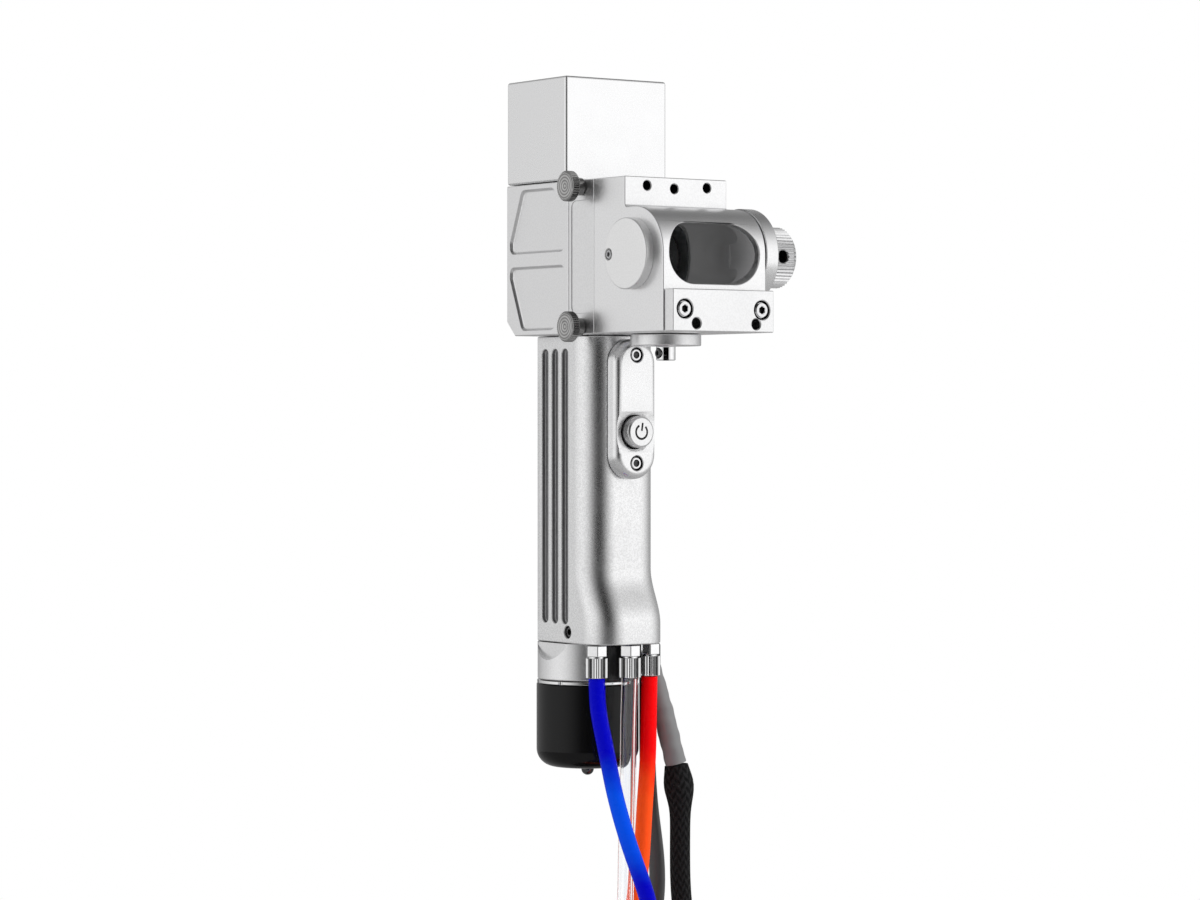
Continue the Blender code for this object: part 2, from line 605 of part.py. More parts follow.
def front_block():
    nose_top = BEAM_Z + NOSE_RADIUS
    outline = [(DRAWER_BACK, HEAD_TOP), (DRAWER_BACK, HEAD_BOTTOM), (NOSE_FRONT, HEAD_BOTTOM)]
    outline += arc((NOSE_AXIS_Y, BEAM_Z), NOSE_RADIUS, 180, 90, 10)
    outline += [(FLANGE_FRONT, nose_top), (FLANGE_FRONT, HEAD_TOP)]
    body = prism("front_block", outline, "X", -HEAD_HALF_WIDTH, HEAD_HALF_WIDTH, SATIN)
    soften(body, EDGE)
    cut(body, block("cut_plate_rebate", (-HEAD_HALF_WIDTH - OVER, DRAWER_FRONT - GAP, HEAD_BOTTOM - OVER),
                    (PLATE_INNER + GAP, DRAWER_BACK + OVER, HEAD_TOP + OVER)))
    room = TRAY_HALF_HEIGHT + GAP
    cut(body, block("cut_tray_slot", (PLATE_INNER - OVER, TRAY_FRONT - GAP, BEAM_Z - room),
                    (TRAY_END + GAP, TRAY_BACK + GAP, BEAM_Z + room)))
    cut(body, rod("cut_beam_bore", "Y", (0, BEAM_Z), BEAM_BORE, DRAWER_BACK + OVER, NOSE_AXIS_Y, sides=ROUND))
    cut(body, rod("cut_chamber", "X", (NOSE_AXIS_Y, BEAM_Z), CHAMBER_RADIUS,
                  -HEAD_HALF_WIDTH - OVER, HEAD_HALF_WIDTH + OVER, sides=ROUND))
    window = stadium((0, BEAM_Z), WINDOW_WIDTH / 2, WINDOW_HEIGHT / 2)
    cut(body, prism("cut_window", window, "Y", NOSE_FRONT - OVER, NOSE_AXIS_Y))
    for i, (x, drop) in enumerate(FLANGE_HOLES):
        cut(body, rod(f"cut_flange_hole_{i}", "Y", (x, HEAD_TOP - drop), FLANGE_HOLE_RADIUS,
                      FLANGE_FRONT - OVER, FLANGE_FRONT + FLANGE_HOLE_DEPTH))
    for side in (-1, 1):
        cut(body, rod(f"cut_bar_thread_{side}", "Y", (side * BAR_SCREW_X, HEAD_BOTTOM + BAR_SCREW_RISE),
                      SCREW_SHANK + GAP, NOSE_FRONT - OVER, NOSE_FRONT + BAR_SCREW_DEPTH + GAP))
        cut(body, rod(f"cut_thumb_thread_{side}", "X", (DRAWER_Y, BEAM_Z + side * THUMB_SPREAD),
                      THUMB_SHANK_RADIUS + GAP, PLATE_INNER - OVER, THUMB_END + GAP))


def chamber_parts():
    """Dark liner of the cross bore, open to the window and to the beam, and the baffle in the beam bore."""
    outer, inner = CHAMBER_RADIUS - GAP, CHAMBER_INNER
    half = HEAD_HALF_WIDTH - GAP
    liner = turned("chamber_liner", [(outer, -half), (outer, half), (inner, half), (inner, -half)],
                   "X", (NOSE_AXIS_Y, BEAM_Z), BLACK_METAL, ring=True)
    window = stadium((0, BEAM_Z), WINDOW_WIDTH / 2 + GAP, WINDOW_HEIGHT / 2 + GAP)
    cut(liner, prism("cut_liner_window", window, "Y", NOSE_FRONT - OVER, NOSE_AXIS_Y))
    cut(liner, rod("cut_liner_beam", "Y", (0, BEAM_Z), BEAM_BORE, NOSE_AXIS_Y, NOSE_AXIS_Y + NOSE_RADIUS,
                   sides=ROUND))
    rim = BEAM_BORE - GAP
    turned("beam_baffle", [
        (rim, BAFFLE_BACK), (rim, BAFFLE_BACK - BAFFLE_LENGTH),
        (BAFFLE_APERTURE, BAFFLE_BACK - BAFFLE_LENGTH / 2), (BAFFLE_APERTURE, BAFFLE_BACK)],
        "Y", (0, BEAM_Z), BLACK_METAL, ring=True)


def side_cap():
    face = -HEAD_HALF_WIDTH - GAP
    spigot = CHAMBER_INNER - GAP
    centre = (NOSE_AXIS_Y, BEAM_Z)
    end = face - CAP_LENGTH
    cap = turned("side_cap", [
        (0, face + CAP_SPIGOT), (spigot, face + CAP_SPIGOT), (spigot, face), (CAP_BASE_RADIUS, face),
        (CAP_BASE_RADIUS, face - CAP_BASE), (CAP_RADIUS, face - CAP_BASE - GAP),
        (CAP_RADIUS, end + EDGE), (CAP_RADIUS - EDGE, end), (0, end)], "X", centre, SATIN)
    place = (NOSE_AXIS_Y + CAP_SCREW_OFFSET, BEAM_Z)
    seat = end + SMALL_HEAD_LENGTH + GAP
    cut(cap, rod("cut_cap_screw_head", "X", place, SMALL_HEAD + GAP, end - OVER, seat))
    cut(cap, rod("cut_cap_screw_shank", "X", place, SMALL_SHANK + GAP, end - OVER,
                 seat + SMALL_SHANK_LENGTH + GAP))
    socket_screw("side_cap_screw", "X", place, seat - GAP, 1, SMALL_HEAD, SMALL_HEAD_LENGTH,
                 SMALL_SHANK, SMALL_SHANK_LENGTH)


def end_ring_and_knob():
    face = HEAD_HALF_WIDTH + GAP
    spigot = CHAMBER_INNER - GAP
    centre = (NOSE_AXIS_Y, BEAM_Z)
    end = face + RING_LENGTH
    turned("end_ring", [
        (RING_BORE, face - CAP_SPIGOT), (spigot, face - CAP_SPIGOT), (spigot, face), (RING_RADIUS, face),
        (RING_RADIUS, end - EDGE * 2), (RING_RADIUS - EDGE * 2, end), (RING_BORE, end)],
        "X", centre, SATIN, ring=True)
    inner = end + GAP
    outer = inner + KNOB_LENGTH
    shank = RING_BORE - GAP
    rim = KNOB_RADIUS - EDGE * 2
    tooth = KNOB_RADIUS * 0.035
    knob = stacked("knurled_knob", [
        (face - CAP_SPIGOT, "round", shank, 0), (inner, "round", shank, 0), (inner, "round", rim, 0),
        (inner + EDGE * 2, "teeth", KNOB_RADIUS, tooth), (outer - EDGE * 2, "teeth", KNOB_RADIUS, tooth),
        (outer, "round", rim, 0), (outer, "round", rim * 0.7, 0), (outer - EDGE * 2, "round", rim * 0.65, 0)],
        "X", centre, BRIGHT, KNOB_TEETH * 2)
    put_origin(knob, ((inner + outer) / 2, NOSE_AXIS_Y, BEAM_Z))
    front = NOSE_AXIS_Y - KNOB_RADIUS
    cut(knob, rod("cut_knob_hole", "Y", ((inner + outer) / 2, BEAM_Z), KNOB_HOLE, front - OVER,
                  front + KNOB_HOLE_DEPTH))


# Screws

def socket_screw(name, axis, centre, seat, way, head, head_length, shank, shank_length, finish=STEEL):
    """Socket head screw whose head stands on seat; its shank points along way (+1 or -1)."""
    face = seat - way * head_length
    socket = head * 0.45
    return stacked(name, [
        (face + way * head_length * 0.6, "hex", socket, 0), (face, "hex", socket, 0),
        (face, "round", head * 0.9, 0), (face + way * head_length * 0.15, "round", head, 0),
        (seat, "round", head, 0), (seat, "round", shank, 0), (seat + way * shank_length, "round", shank, 0)],
        axis, centre, finish, SMALL_ROUND)


def front_bar():
    low = (-BAR_HALF_WIDTH, BAR_FRONT, HEAD_BOTTOM)
    high = (BAR_HALF_WIDTH, BAR_BACK, HEAD_BOTTOM + BAR_HEIGHT)
    bar = block("front_bar", low, high, SATIN)
    soften(bar, EDGE)
    head_seat = BAR_FRONT + SCREW_HEAD_LENGTH + GAP
    height = HEAD_BOTTOM + BAR_SCREW_RISE
    for x in (-BAR_SCREW_X, BAR_SCREW_X):
        label = "left" if x < 0 else "right"
        cut(bar, rod(f"cut_bar_head_{label}", "Y", (x, height), SCREW_HEAD + GAP * 2, BAR_FRONT - OVER,
                     head_seat))
        cut(bar, rod(f"cut_bar_shank_{label}", "Y", (x, height), SCREW_SHANK + GAP, BAR_FRONT - OVER,
                     BAR_BACK + OVER))
        reach = NOSE_FRONT + BAR_SCREW_DEPTH - head_seat
        socket_screw(f"bar_screw_{label}", "Y", (x, height), head_seat - GAP, 1, SCREW_HEAD,
                     SCREW_HEAD_LENGTH, SCREW_SHANK, reach)
    for i, x in enumerate(BAR_HOLES_X):
        cut(bar, rod(f"cut_bar_hole_{i}", "Y", (x, HEAD_BOTTOM + BAR_HOLE_RISE), BAR_HOLE_RADIUS,
                     BAR_FRONT - OVER, BAR_BACK + OVER))


def lower_clamp():
    """Round plate under the front block, with a split hub and the screw that closes it."""
    top = HEAD_BOTTOM - GAP
    plate = top - CLAMP_THICKNESS
    end = plate - CLAMP_HUB_LENGTH
    clamp = turned("lower_clamp", [
        (0, top), (CLAMP_RADIUS - EDGE, top), (CLAMP_RADIUS, top - EDGE), (CLAMP_RADIUS, plate + EDGE),
        (CLAMP_RADIUS - EDGE, plate), (CLAMP_HUB_RADIUS, plate), (CLAMP_HUB_RADIUS, end + EDGE),
        (CLAMP_HUB_RADIUS - EDGE, end), (0, end)], "Z", (0, CLAMP_Y), SATIN)
    cut(clamp, block("cut_clamp_slit", (-CLAMP_SLIT / 2, CLAMP_Y - CLAMP_RADIUS, end - OVER),
                     (CLAMP_SLIT / 2, CLAMP_Y + CLAMP_HUB_RADIUS / 2, plate - EDGE)))
    place = (CLAMP_Y, end + CLAMP_HUB_LENGTH / 2)
    seat = -CLAMP_HUB_RADIUS + SMALL_HEAD_LENGTH
    cut(clamp, rod("cut_clamp_head", "X", place, SMALL_HEAD + GAP, -CLAMP_HUB_RADIUS - OVER, seat))
    cut(clamp, rod("cut_clamp_shank", "X", place, SMALL_SHANK + GAP, seat - GAP, CLAMP_HUB_RADIUS - EDGE))
    socket_screw("lower_clamp_screw", "X", place, seat - GAP, 1, SMALL_HEAD, SMALL_HEAD_LENGTH,
                 SMALL_SHANK, CLAMP_HUB_RADIUS)


# Lens drawer

def lens_drawer():
    """Face plate and tray in one piece; the lens, its seal and the clamp ring go in from the front."""
    drawer = block("lens_drawer", (-HEAD_HALF_WIDTH, DRAWER_FRONT, HEAD_BOTTOM),
                   (PLATE_INNER, DRAWER_BACK, HEAD_TOP), SATIN)
    soften(drawer, EDGE)
    low = (PLATE_INNER - PLATE_THICKNESS / 2, TRAY_FRONT, BEAM_Z - TRAY_HALF_HEIGHT)
    high = (TRAY_END, TRAY_BACK, BEAM_Z + TRAY_HALF_HEIGHT)
    boolean(drawer, block("add_tray", low, high), "UNION")
    pocket, lip = LENS_RADIUS + GAP, LENS_RADIUS - LENS_LIP_WIDTH
    mouth, seat, end = TRAY_FRONT - OVER, TRAY_BACK - LENS_LIP, TRAY_BACK + OVER
    cut(drawer, turned("cut_lens_seat", [(0, mouth), (pocket, mouth), (pocket, seat), (lip, seat), (lip, end),
                                         (0, end)], "Y", (0, BEAM_Z)))
    corners = [(DRAWER_Y + sy * LABEL_WIDTH / 2, BEAM_Z + sz * LABEL_HEIGHT / 2)
               for sy, sz in ((-1, -1), (1, -1), (1, 1), (-1, 1))]
    cut(drawer, prism("cut_label", rounded(corners, LABEL_CORNER), "X", -HEAD_HALF_WIDTH - OVER,
                      -HEAD_HALF_WIDTH + LABEL_DEPTH))
    put_origin(drawer, (0, DRAWER_Y, BEAM_Z))
    lens_end = LENS_BACK - LENS_THICKNESS
    seal_end = lens_end - GAP - SEAL_THICKNESS
    lens = rod("protective_lens", "Y", (0, BEAM_Z), LENS_RADIUS, LENS_BACK, lens_end, GLASS,
               sides=INNER_ROUND)
    half = SEAL_THICKNESS / 2
    middle = LENS_RADIUS - half
    section = arc((middle, seal_end + half), half, 0, 360, 6)[:-1]
    seal = turned("lens_seal", section, "Y", (0, BEAM_Z), SEAL, ring=True, sides=INNER_ROUND)
    ring = turned("lens_clamp_ring", [
        (LENS_RADIUS, seal_end - GAP), (LENS_RADIUS, TRAY_FRONT), (LENS_RADIUS - LENS_LIP_WIDTH, TRAY_FRONT),
        (LENS_RADIUS - LENS_LIP_WIDTH, seal_end - GAP)], "Y", (0, BEAM_Z), BLACK_METAL, ring=True,
        sides=INNER_ROUND)
    carry(drawer, lens, seal, ring)
    for side, label in ((1, "top"), (-1, "bottom")):
        thumb_screw(drawer, label, BEAM_Z + side * THUMB_SPREAD)


def thumb_screw(drawer, label, height):
    """Knurled screw, captive in the drawer's plate, that holds it to the front block."""
    cut(drawer, rod(f"cut_thumb_hole_{label}", "X", (DRAWER_Y, height), THUMB_SHANK_RADIUS + GAP,
                    -HEAD_HALF_WIDTH - OVER, PLATE_INNER + OVER))
    foot = -HEAD_HALF_WIDTH - GAP
    back = foot - THUMB_NECK_LENGTH
    face = back - THUMB_HEAD_LENGTH
    rim = THUMB_HEAD_RADIUS - EDGE
    tooth = THUMB_HEAD_RADIUS * 0.06
    screw = stacked(f"thumb_screw_{label}", [
        (face + EDGE / 2, "round", rim * 0.5, 0), (face, "round", rim * 0.6, 0), (face, "round", rim, 0),
        (face + EDGE, "teeth", THUMB_HEAD_RADIUS, tooth), (back - EDGE, "teeth", THUMB_HEAD_RADIUS, tooth),
        (back, "round", rim, 0), (back, "round", THUMB_NECK_RADIUS, 0), (foot, "round", THUMB_NECK_RADIUS, 0),
        (foot, "round", THUMB_SHANK_RADIUS, 0), (THUMB_END, "round", THUMB_SHANK_RADIUS, 0)],
        "X", (DRAWER_Y, height), STEEL, THUMB_TEETH * 2)
    put_origin(screw, (face, DRAWER_Y, height))


# Grip, switch and button

def grip_front(forward, radius):
    """The grip's flat front between its two rounded edges."""
    reach = GRIP_HALF_WIDTH - FRONT_EDGE
    left = arc((-reach, FRONT_EDGE_Y - forward), radius, 180, 270, FRONT_STEPS)
    return left + arc((reach, FRONT_EDGE_Y - forward), radius, 270, 360, FRONT_STEPS)


def grip_section(height):
    """Outline of the grip at a height: round back, flat sides, and a front that comes forward low down."""
    span = (SWELL_TOP - height) / (SWELL_TOP - SWELL_BOTTOM)
    span = min(max(span, 0.0), 1.0)
    forward = SWELL * span * span * (3 - 2 * span)
    corner = math.degrees(math.acos(GRIP_HALF_WIDTH / GRIP_BACK_RADIUS))
    back = arc((0, 0), GRIP_BACK_RADIUS, corner, 180 - corner, 10)
    return [Vector((x, y, height)) for x, y in back + grip_front(forward, FRONT_EDGE)]


def grip_shell():
    edit = bmesh.new()
    swell = [SWELL_BOTTOM + (SWELL_TOP - SWELL_BOTTOM) * i / SWELL_STEPS
             for i in range(SWELL_STEPS + 1)]
    loops = [[edit.verts.new(point) for point in grip_section(height)]
             for height in [GRIP_BOTTOM] + swell + [GRIP_TOP]]
    count = len(loops[0])
    for lower, upper in zip(loops, loops[1:]):
        for i in range(count):
            j = (i + 1) % count
            edit.faces.new((lower[i], lower[j], upper[j], upper[i]))
    edit.faces.new(loops[0])
    edit.faces.new(loops[-1])
    grip = as_object("grip_shell", edit, SATIN, smooth=True)
    soften(grip, EDGE, angle=60)
    cut(grip, rod("cut_grip_bore", "Z", (0, 0), GRIP_BORE, GRIP_BOTTOM - OVER, GRIP_TOP + OVER, sides=ROUND))
    cut(grip, rod("cut_wire_channel", "Z", (0, CHANNEL_Y), CHANNEL_RADIUS, GRIP_BOTTOM - OVER, BUTTON_Z))
    cut(grip, rod("cut_switch_pocket", "Y", (0, BUTTON_Z), BUTTON_HOLE, SWITCH_FRONT + SWITCH_LENGTH + GAP,
                  PLATE_FRONT, sides=ROUND))
    for side in (-1, 1):
        cut(grip, rod(f"cut_plate_thread_{side}", "Y", (0, PLATE_CENTRE_Z + side * PLATE_SCREW_RISE),
                      SCREW_SHANK + GAP, PLATE_FRONT, PLATE_FRONT + PLATE_SCREW_REACH + GAP))
        for i in (-1, 0, 1):
            y = FLUTE_CENTRE_Y + i * FLUTE_PITCH
            outline = stadium((y, (FLUTE_TOP + FLUTE_BOTTOM) / 2), FLUTE_WIDTH / 2,
                              (FLUTE_TOP - FLUTE_BOTTOM) / 2, 4)
            cut(grip, prism(f"cut_flute_{side}_{i}", outline, "X", side * (GRIP_HALF_WIDTH - FLUTE_DEPTH),
                            side * (GRIP_HALF_WIDTH + OVER)))
    place = (GRIP_SCREW_Y, GRIP_SCREW_Z)
    cut(grip, rod("cut_grip_screw", "X", place, GRIP_SCREW_RADIUS + GAP, -GRIP_HALF_WIDTH - OVER,
                  -GRIP_SCREW_RADIUS))
    outer = -GRIP_HALF_WIDTH + GRIP_SCREW_SUNK
    socket = GRIP_SCREW_RADIUS * 0.55
    stacked("grip_screw", [
        (outer + GRIP_SCREW_LENGTH / 2, "hex", socket, 0), (outer, "hex", socket, 0),
        (outer, "round", GRIP_SCREW_RADIUS, 0), (outer + GRIP_SCREW_LENGTH, "round", GRIP_SCREW_RADIUS, 0)],
        "X", place, STEEL, SMALL_ROUND)


def switch_plate():
    """Saddle on the grip's front, with round shoulders, a shallow scoop and the button's bore."""
    outline = stadium((0, PLATE_CENTRE_Z), PLATE_HALF_WIDTH, PLATE_HALF_HEIGHT)
    plate = prism("switch_plate", outline, "Y", PLATE_FRONT, PLATE_BACK, SATIN, smooth=True)
    soften(plate, PLATE_SHOULDER, segments=4)
    reach = PLATE_HALF_HEIGHT + OVER
    cut(plate, prism("cut_plate_saddle", grip_front(0, FRONT_EDGE + GAP), "Z", PLATE_CENTRE_Z - reach,
                     PLATE_CENTRE_Z + reach))
    scoop_y = PLATE_FRONT + SCOOP_DEPTH - SCOOP_RADIUS
    cut(plate, rod("cut_plate_scoop", "X", (scoop_y, BUTTON_Z), SCOOP_RADIUS, -PLATE_HALF_WIDTH - OVER,
                   PLATE_HALF_WIDTH + OVER, sides=WIDE_ROUND))
    cut(plate, rod("cut_button_hole", "Y", (0, BUTTON_Z), BUTTON_HOLE, PLATE_FRONT - OVER, PLATE_BACK,
                   sides=ROUND))
    seat = PLATE_FRONT + PLATE_SCREW_SEAT
    for side, label in ((1, "top"), (-1, "bottom")):
        place = (0, PLATE_CENTRE_Z + side * PLATE_SCREW_RISE)
        cut(plate, rod(f"cut_plate_head_{label}", "Y", place, PLATE_SCREW_HEAD + GAP * 1.5,
                       PLATE_FRONT - OVER, seat))
        cut(plate, rod(f"cut_plate_shank_{label}", "Y", place, SCREW_SHANK + GAP, PLATE_FRONT - OVER,
                       PLATE_BACK))
        socket_screw(f"plate_screw_{label}", "Y", place, seat - GAP, 1, PLATE_SCREW_HEAD,
                     PLATE_SCREW_SEAT - GAP * 2, SCREW_SHANK, PLATE_SCREW_REACH - PLATE_SCREW_SEAT)


def power_button():
    face = PLATE_FRONT - BUTTON_STAND
    back = face + BUTTON_LENGTH
    button = turned("power_button", [
        (0, face), (BUTTON_RADIUS - EDGE, face), (BUTTON_RADIUS, face + EDGE), (BUTTON_RADIUS, back),
        (BUTTON_STEM_RADIUS, back), (BUTTON_STEM_RADIUS, back + BUTTON_STEM), (0, back + BUTTON_STEM)],
        "Y", (0, BUTTON_Z), BRIGHT)
    put_origin(button, (0, face, BUTTON_Z))
    rod("switch_body", "Y", (0, BUTTON_Z), SWITCH_RADIUS, SWITCH_FRONT, SWITCH_FRONT + SWITCH_LENGTH,
        PLASTIC, sides=INNER_ROUND)


# Collimator and fibre receptacle

def collimator():
    seat = BARREL_LENS_Z
    wide = COLLIMATOR_RADIUS + GAP
    turned("collimator_barrel", [
        (BARREL_RADIUS, BARREL_BOTTOM), (BARREL_RADIUS, GRIP_TOP), (wide, GRIP_TOP), (wide, seat),
        (BARREL_BORE, seat), (BARREL_BORE, BARREL_BOTTOM)], "Z", (0, 0), BLACK_METAL, ring=True,
        sides=INNER_ROUND)
    bottom = seat + GAP
    edge = bottom + COLLIMATOR_EDGE
    crown = [(COLLIMATOR_RADIUS * k, edge + COLLIMATOR_CROWN * (1 - k * k)) for k in (1, 0.7, 0.4, 0)]
    turned("collimator_lens", [(0, bottom), (COLLIMATOR_RADIUS, bottom)] + crown, "Z", (0, 0), GLASS,
           sides=INNER_ROUND)
    lower = edge + GAP * 3
    upper = lower + COLLIMATOR_RING
    inner = COLLIMATOR_RADIUS * 0.88
    turned("collimator_ring", [(COLLIMATOR_RADIUS, lower), (COLLIMATOR_RADIUS, upper), (inner, upper),
                               (inner, lower)], "Z", (0, 0), BLACK_METAL, ring=True, sides=INNER_ROUND)


def fibre_receptacle():
    spigot_top = BARREL_BOTTOM - GAP
    collar = turned("fibre_receptacle", [
        (SOCKET_RADIUS, COLLAR_BOTTOM), (COLLAR_RADIUS - EDGE, COLLAR_BOTTOM),
        (COLLAR_RADIUS, COLLAR_BOTTOM + EDGE),
        (COLLAR_RADIUS, COLLAR_TOP), (BARREL_RADIUS, COLLAR_TOP), (BARREL_RADIUS, spigot_top),
        (SOCKET_RADIUS, spigot_top)], "Z", (0, 0), SATIN, ring=True)
    for side in (-1, 1):
        cut(collar, rod(f"cut_collar_flat_{side}", "X", (0, FLAT_RUNOUT_Z), FLAT_RUNOUT_RADIUS,
                        side * GRIP_HALF_WIDTH, side * (COLLAR_RADIUS + OVER), sides=ROUND))


def lock_ring():
    ring = turned("lock_ring", [
        (LOCK_RING_BORE, LOCK_TOP), (LOCK_RING_RADIUS, LOCK_TOP), (LOCK_RING_RADIUS, LOCK_BOTTOM),
        (LOCK_RING_BORE, LOCK_BOTTOM)], "Z", (0, 0), BRIGHT, ring=True)
    for i in range(LOCK_RING_NOTCHES):
        angle = math.tau * (i + 0.5) / LOCK_RING_NOTCHES
        place = (LOCK_RING_RADIUS * math.cos(angle), LOCK_RING_RADIUS * math.sin(angle))
        cut(ring, rod(f"cut_lock_notch_{i}", "Z", place, LOCK_RING_LENGTH / 2, LOCK_BOTTOM - OVER,
                      LOCK_TOP + OVER, sides=6))


def dust_cap():
    centre = (DUST_CAP_RADIUS - DUST_CAP_CORNER, DUST_BOTTOM + DUST_CAP_CORNER)
    corner = arc(centre, DUST_CAP_CORNER, 0, -90, 5)
    cap = turned("dust_cap", [
        (0, DUST_TOP + DUST_PLUG_LENGTH), (DUST_PLUG_RADIUS - EDGE, DUST_TOP + DUST_PLUG_LENGTH),
        (DUST_PLUG_RADIUS, DUST_TOP + DUST_PLUG_LENGTH - EDGE), (DUST_PLUG_RADIUS, DUST_TOP),
        (DUST_CAP_RADIUS - EDGE, DUST_TOP)] + corner + [(0, DUST_BOTTOM)], "Z", (0, 0), BLACK_GLOSS)
    cut(cap, rod("cut_stud_hole", "Z", (0, 0), STUD_SHANK_RADIUS + GAP, DUST_BOTTOM - OVER,
                 DUST_BOTTOM + STUD_SHANK_LENGTH + GAP))
    top = DUST_BOTTOM - GAP
    dome = [(STUD_RADIUS * math.cos(a), top - STUD_LENGTH * (0.3 + 0.7 * math.sin(a)))
            for a in (math.pi / 8 * i for i in range(5))]
    dome[-1] = (0, dome[-1][1])
    stud = turned("cap_stud", [
        (0, DUST_BOTTOM + STUD_SHANK_LENGTH), (STUD_SHANK_RADIUS, DUST_BOTTOM + STUD_SHANK_LENGTH),
        (STUD_SHANK_RADIUS, top), (STUD_RADIUS, top)] + dome, "Z", (0, 0), STEEL, sides=SMALL_ROUND)
    carry(cap, stud)


# Hose fittings and cable exits

def fittings():
    joint = FITTING_TOP - HEX_LENGTH
    tooth = SLEEVE_RADIUS * 0.07
    for name, x, y in FITTINGS:
        stacked(f"{name}_fitting", [
            (FITTING_TOP, "hex", HEX_RADIUS - EDGE, 0), (joint, "hex", HEX_RADIUS - EDGE, 0),
            (joint, "round", SLEEVE_RADIUS - EDGE * 2, 0),
            (joint - EDGE, "round", SLEEVE_RADIUS - EDGE * 2, 0),
            (joint - EDGE, "teeth", SLEEVE_RADIUS, tooth),
            (FITTING_BOTTOM, "teeth", SLEEVE_RADIUS, tooth)], "Z", (x, y), BRIGHT, SLEEVE_TEETH * 2)


def entry_block():
    back = -COLLAR_RADIUS - GAP
    entry = block("entry_block", (-ENTRY_HALF_WIDTH, back - ENTRY_DEPTH, GRIP_BOTTOM - GAP - ENTRY_HEIGHT),
                  (ENTRY_HALF_WIDTH, back, GRIP_BOTTOM - GAP), PLASTIC)
    soften(entry, EDGE)


def side_outlet():
    """Block on the collar's far side; the plain grey cable leaves its underside."""
    inner = COLLAR_RADIUS + GAP
    top = GRIP_BOTTOM - OUTLET_DROP
    outlet = block("side_outlet", (inner, -OUTLET_HALF_WIDTH, top - OUTLET_HEIGHT),
                   (inner + OUTLET_REACH, OUTLET_HALF_WIDTH, top), PLASTIC)
    outlet.data.transform(Matrix.Rotation(OUTLET_ANGLE, 4, "Z"))
    soften(outlet, EDGE * 1.6)


# Cords

# Boot of the braided cable: X, Y, drop below the grip's lower end, and radius
BOOT_ROUTE = (
    (0.0144, -0.0160, GAP, 0.0022), (0.0144, -0.0160, 0.0029, 0.0023),
    (0.0172, -0.0155, 0.0084, 0.0036), (0.0196, -0.0161, 0.0169, 0.00405),
    (0.0219, -0.0173, 0.0260, 0.00405), (0.0241, -0.0184, 0.0359, 0.00405),
    (0.0263, -0.0194, 0.0455, 0.00405))

# Routes of the stretches that aren't wound, from the head to the top of each hank: X, Y and the same drop
ROUTES = {
    "blue_hose": (
        (-0.0118, -0.0225, GRIP_BOTTOM - HOSE_START), (-0.0118, -0.0232, 0.0219), (-0.0117, -0.0256, 0.0309),
        (-0.0113, -0.0285, 0.0406), (-0.0111, -0.0321, 0.0515), (-0.0107, -0.0370, 0.0635),
        (-0.0103, -0.0435, 0.0758), (-0.0110, -0.0530, 0.0899), (-0.0138, -0.0600, 0.1039),
        (-0.0190, -0.0637, 0.1179), (-0.0262, -0.0645, 0.1309), (-0.0330, -0.0645, 0.1424),
        (-0.0360, -0.0645, 0.1527)),
    "clear_hose": (
        (-0.0005, -0.0274, GRIP_BOTTOM - HOSE_START), (-0.0011, -0.0275, 0.0274), (-0.0016, -0.0278, 0.0455),
        (-0.0027, -0.0286, 0.0636), (-0.0041, -0.0300, 0.0778), (-0.0064, -0.0328, 0.0924),
        (-0.0103, -0.0372, 0.1059), (-0.0166, -0.0420, 0.1194), (-0.0250, -0.0447, 0.1314),
        (-0.0325, -0.0453, 0.1424), (-0.0360, -0.0453, 0.1527)),
    "red_hose": (
        (0.0119, -0.0225, GRIP_BOTTOM - HOSE_START), (0.0118, -0.0223, 0.0244), (0.0113, -0.0222, 0.0439),
        (0.0098, -0.0227, 0.0576), (0.0082, -0.0236, 0.0703), (0.0064, -0.0248, 0.0809),
        (0.0033, -0.0260, 0.0930), (-0.0020, -0.0261, 0.1054), (-0.0100, -0.0261, 0.1179),
        (-0.0203, -0.0261, 0.1291), (-0.0305, -0.0261, 0.1402), (-0.0360, -0.0261, 0.1527)),
    "control_cable": (
        (0.02645, -0.01945, 0.0461), (0.0276, -0.0198, 0.0554), (0.0280, -0.0198, 0.0677),
        (0.0284, -0.0192, 0.0815), (0.0298, -0.0184, 0.0969), (0.0330, -0.0184, 0.1139),
        (0.0366, -0.0185, 0.1319), (0.0380, -0.0185, 0.1495)),
    "interlock_cable": (
        (OUTLET_X, OUTLET_Y, GRIP_BOTTOM - OUTLET_BOTTOM + GAP), (OUTLET_X, OUTLET_Y, 0.0299),
        (0.0218, -0.0079, 0.0460), (0.0233, -0.0079, 0.0640), (0.0259, -0.0074, 0.0791),
        (0.0282, -0.0052, 0.0909),
        (0.0301, -0.0012, 0.1019), (0.0312, 0.0042, 0.1129), (0.0312, 0.0092, 0.1229),
        (0.0306, 0.0121, 0.1339), (0.0300, 0.0126, 0.1439), (0.0300, 0.0126, 0.1545)),
}
CORD_FINISH = {"blue_hose": BLUE, "clear_hose": CLEAR, "red_hose": RED,
               "control_cable": BRAID, "interlock_cable": GREY_CABLE}

# Hanks from front to back: name, cord diameter, turns side by side, layers, straight run
HANKS = (
    ("blue_hose", HOSE_DIAMETER, 4, 3, 0.116), ("clear_hose", HOSE_DIAMETER, 4, 3, 0.116),
    ("red_hose", HOSE_DIAMETER, 4, 3, 0.116), ("control_cable", BRAID_DIAMETER, 3, 4, 0.116),
    ("interlock_cable", HOSE_DIAMETER, 3, 4, 0.125))
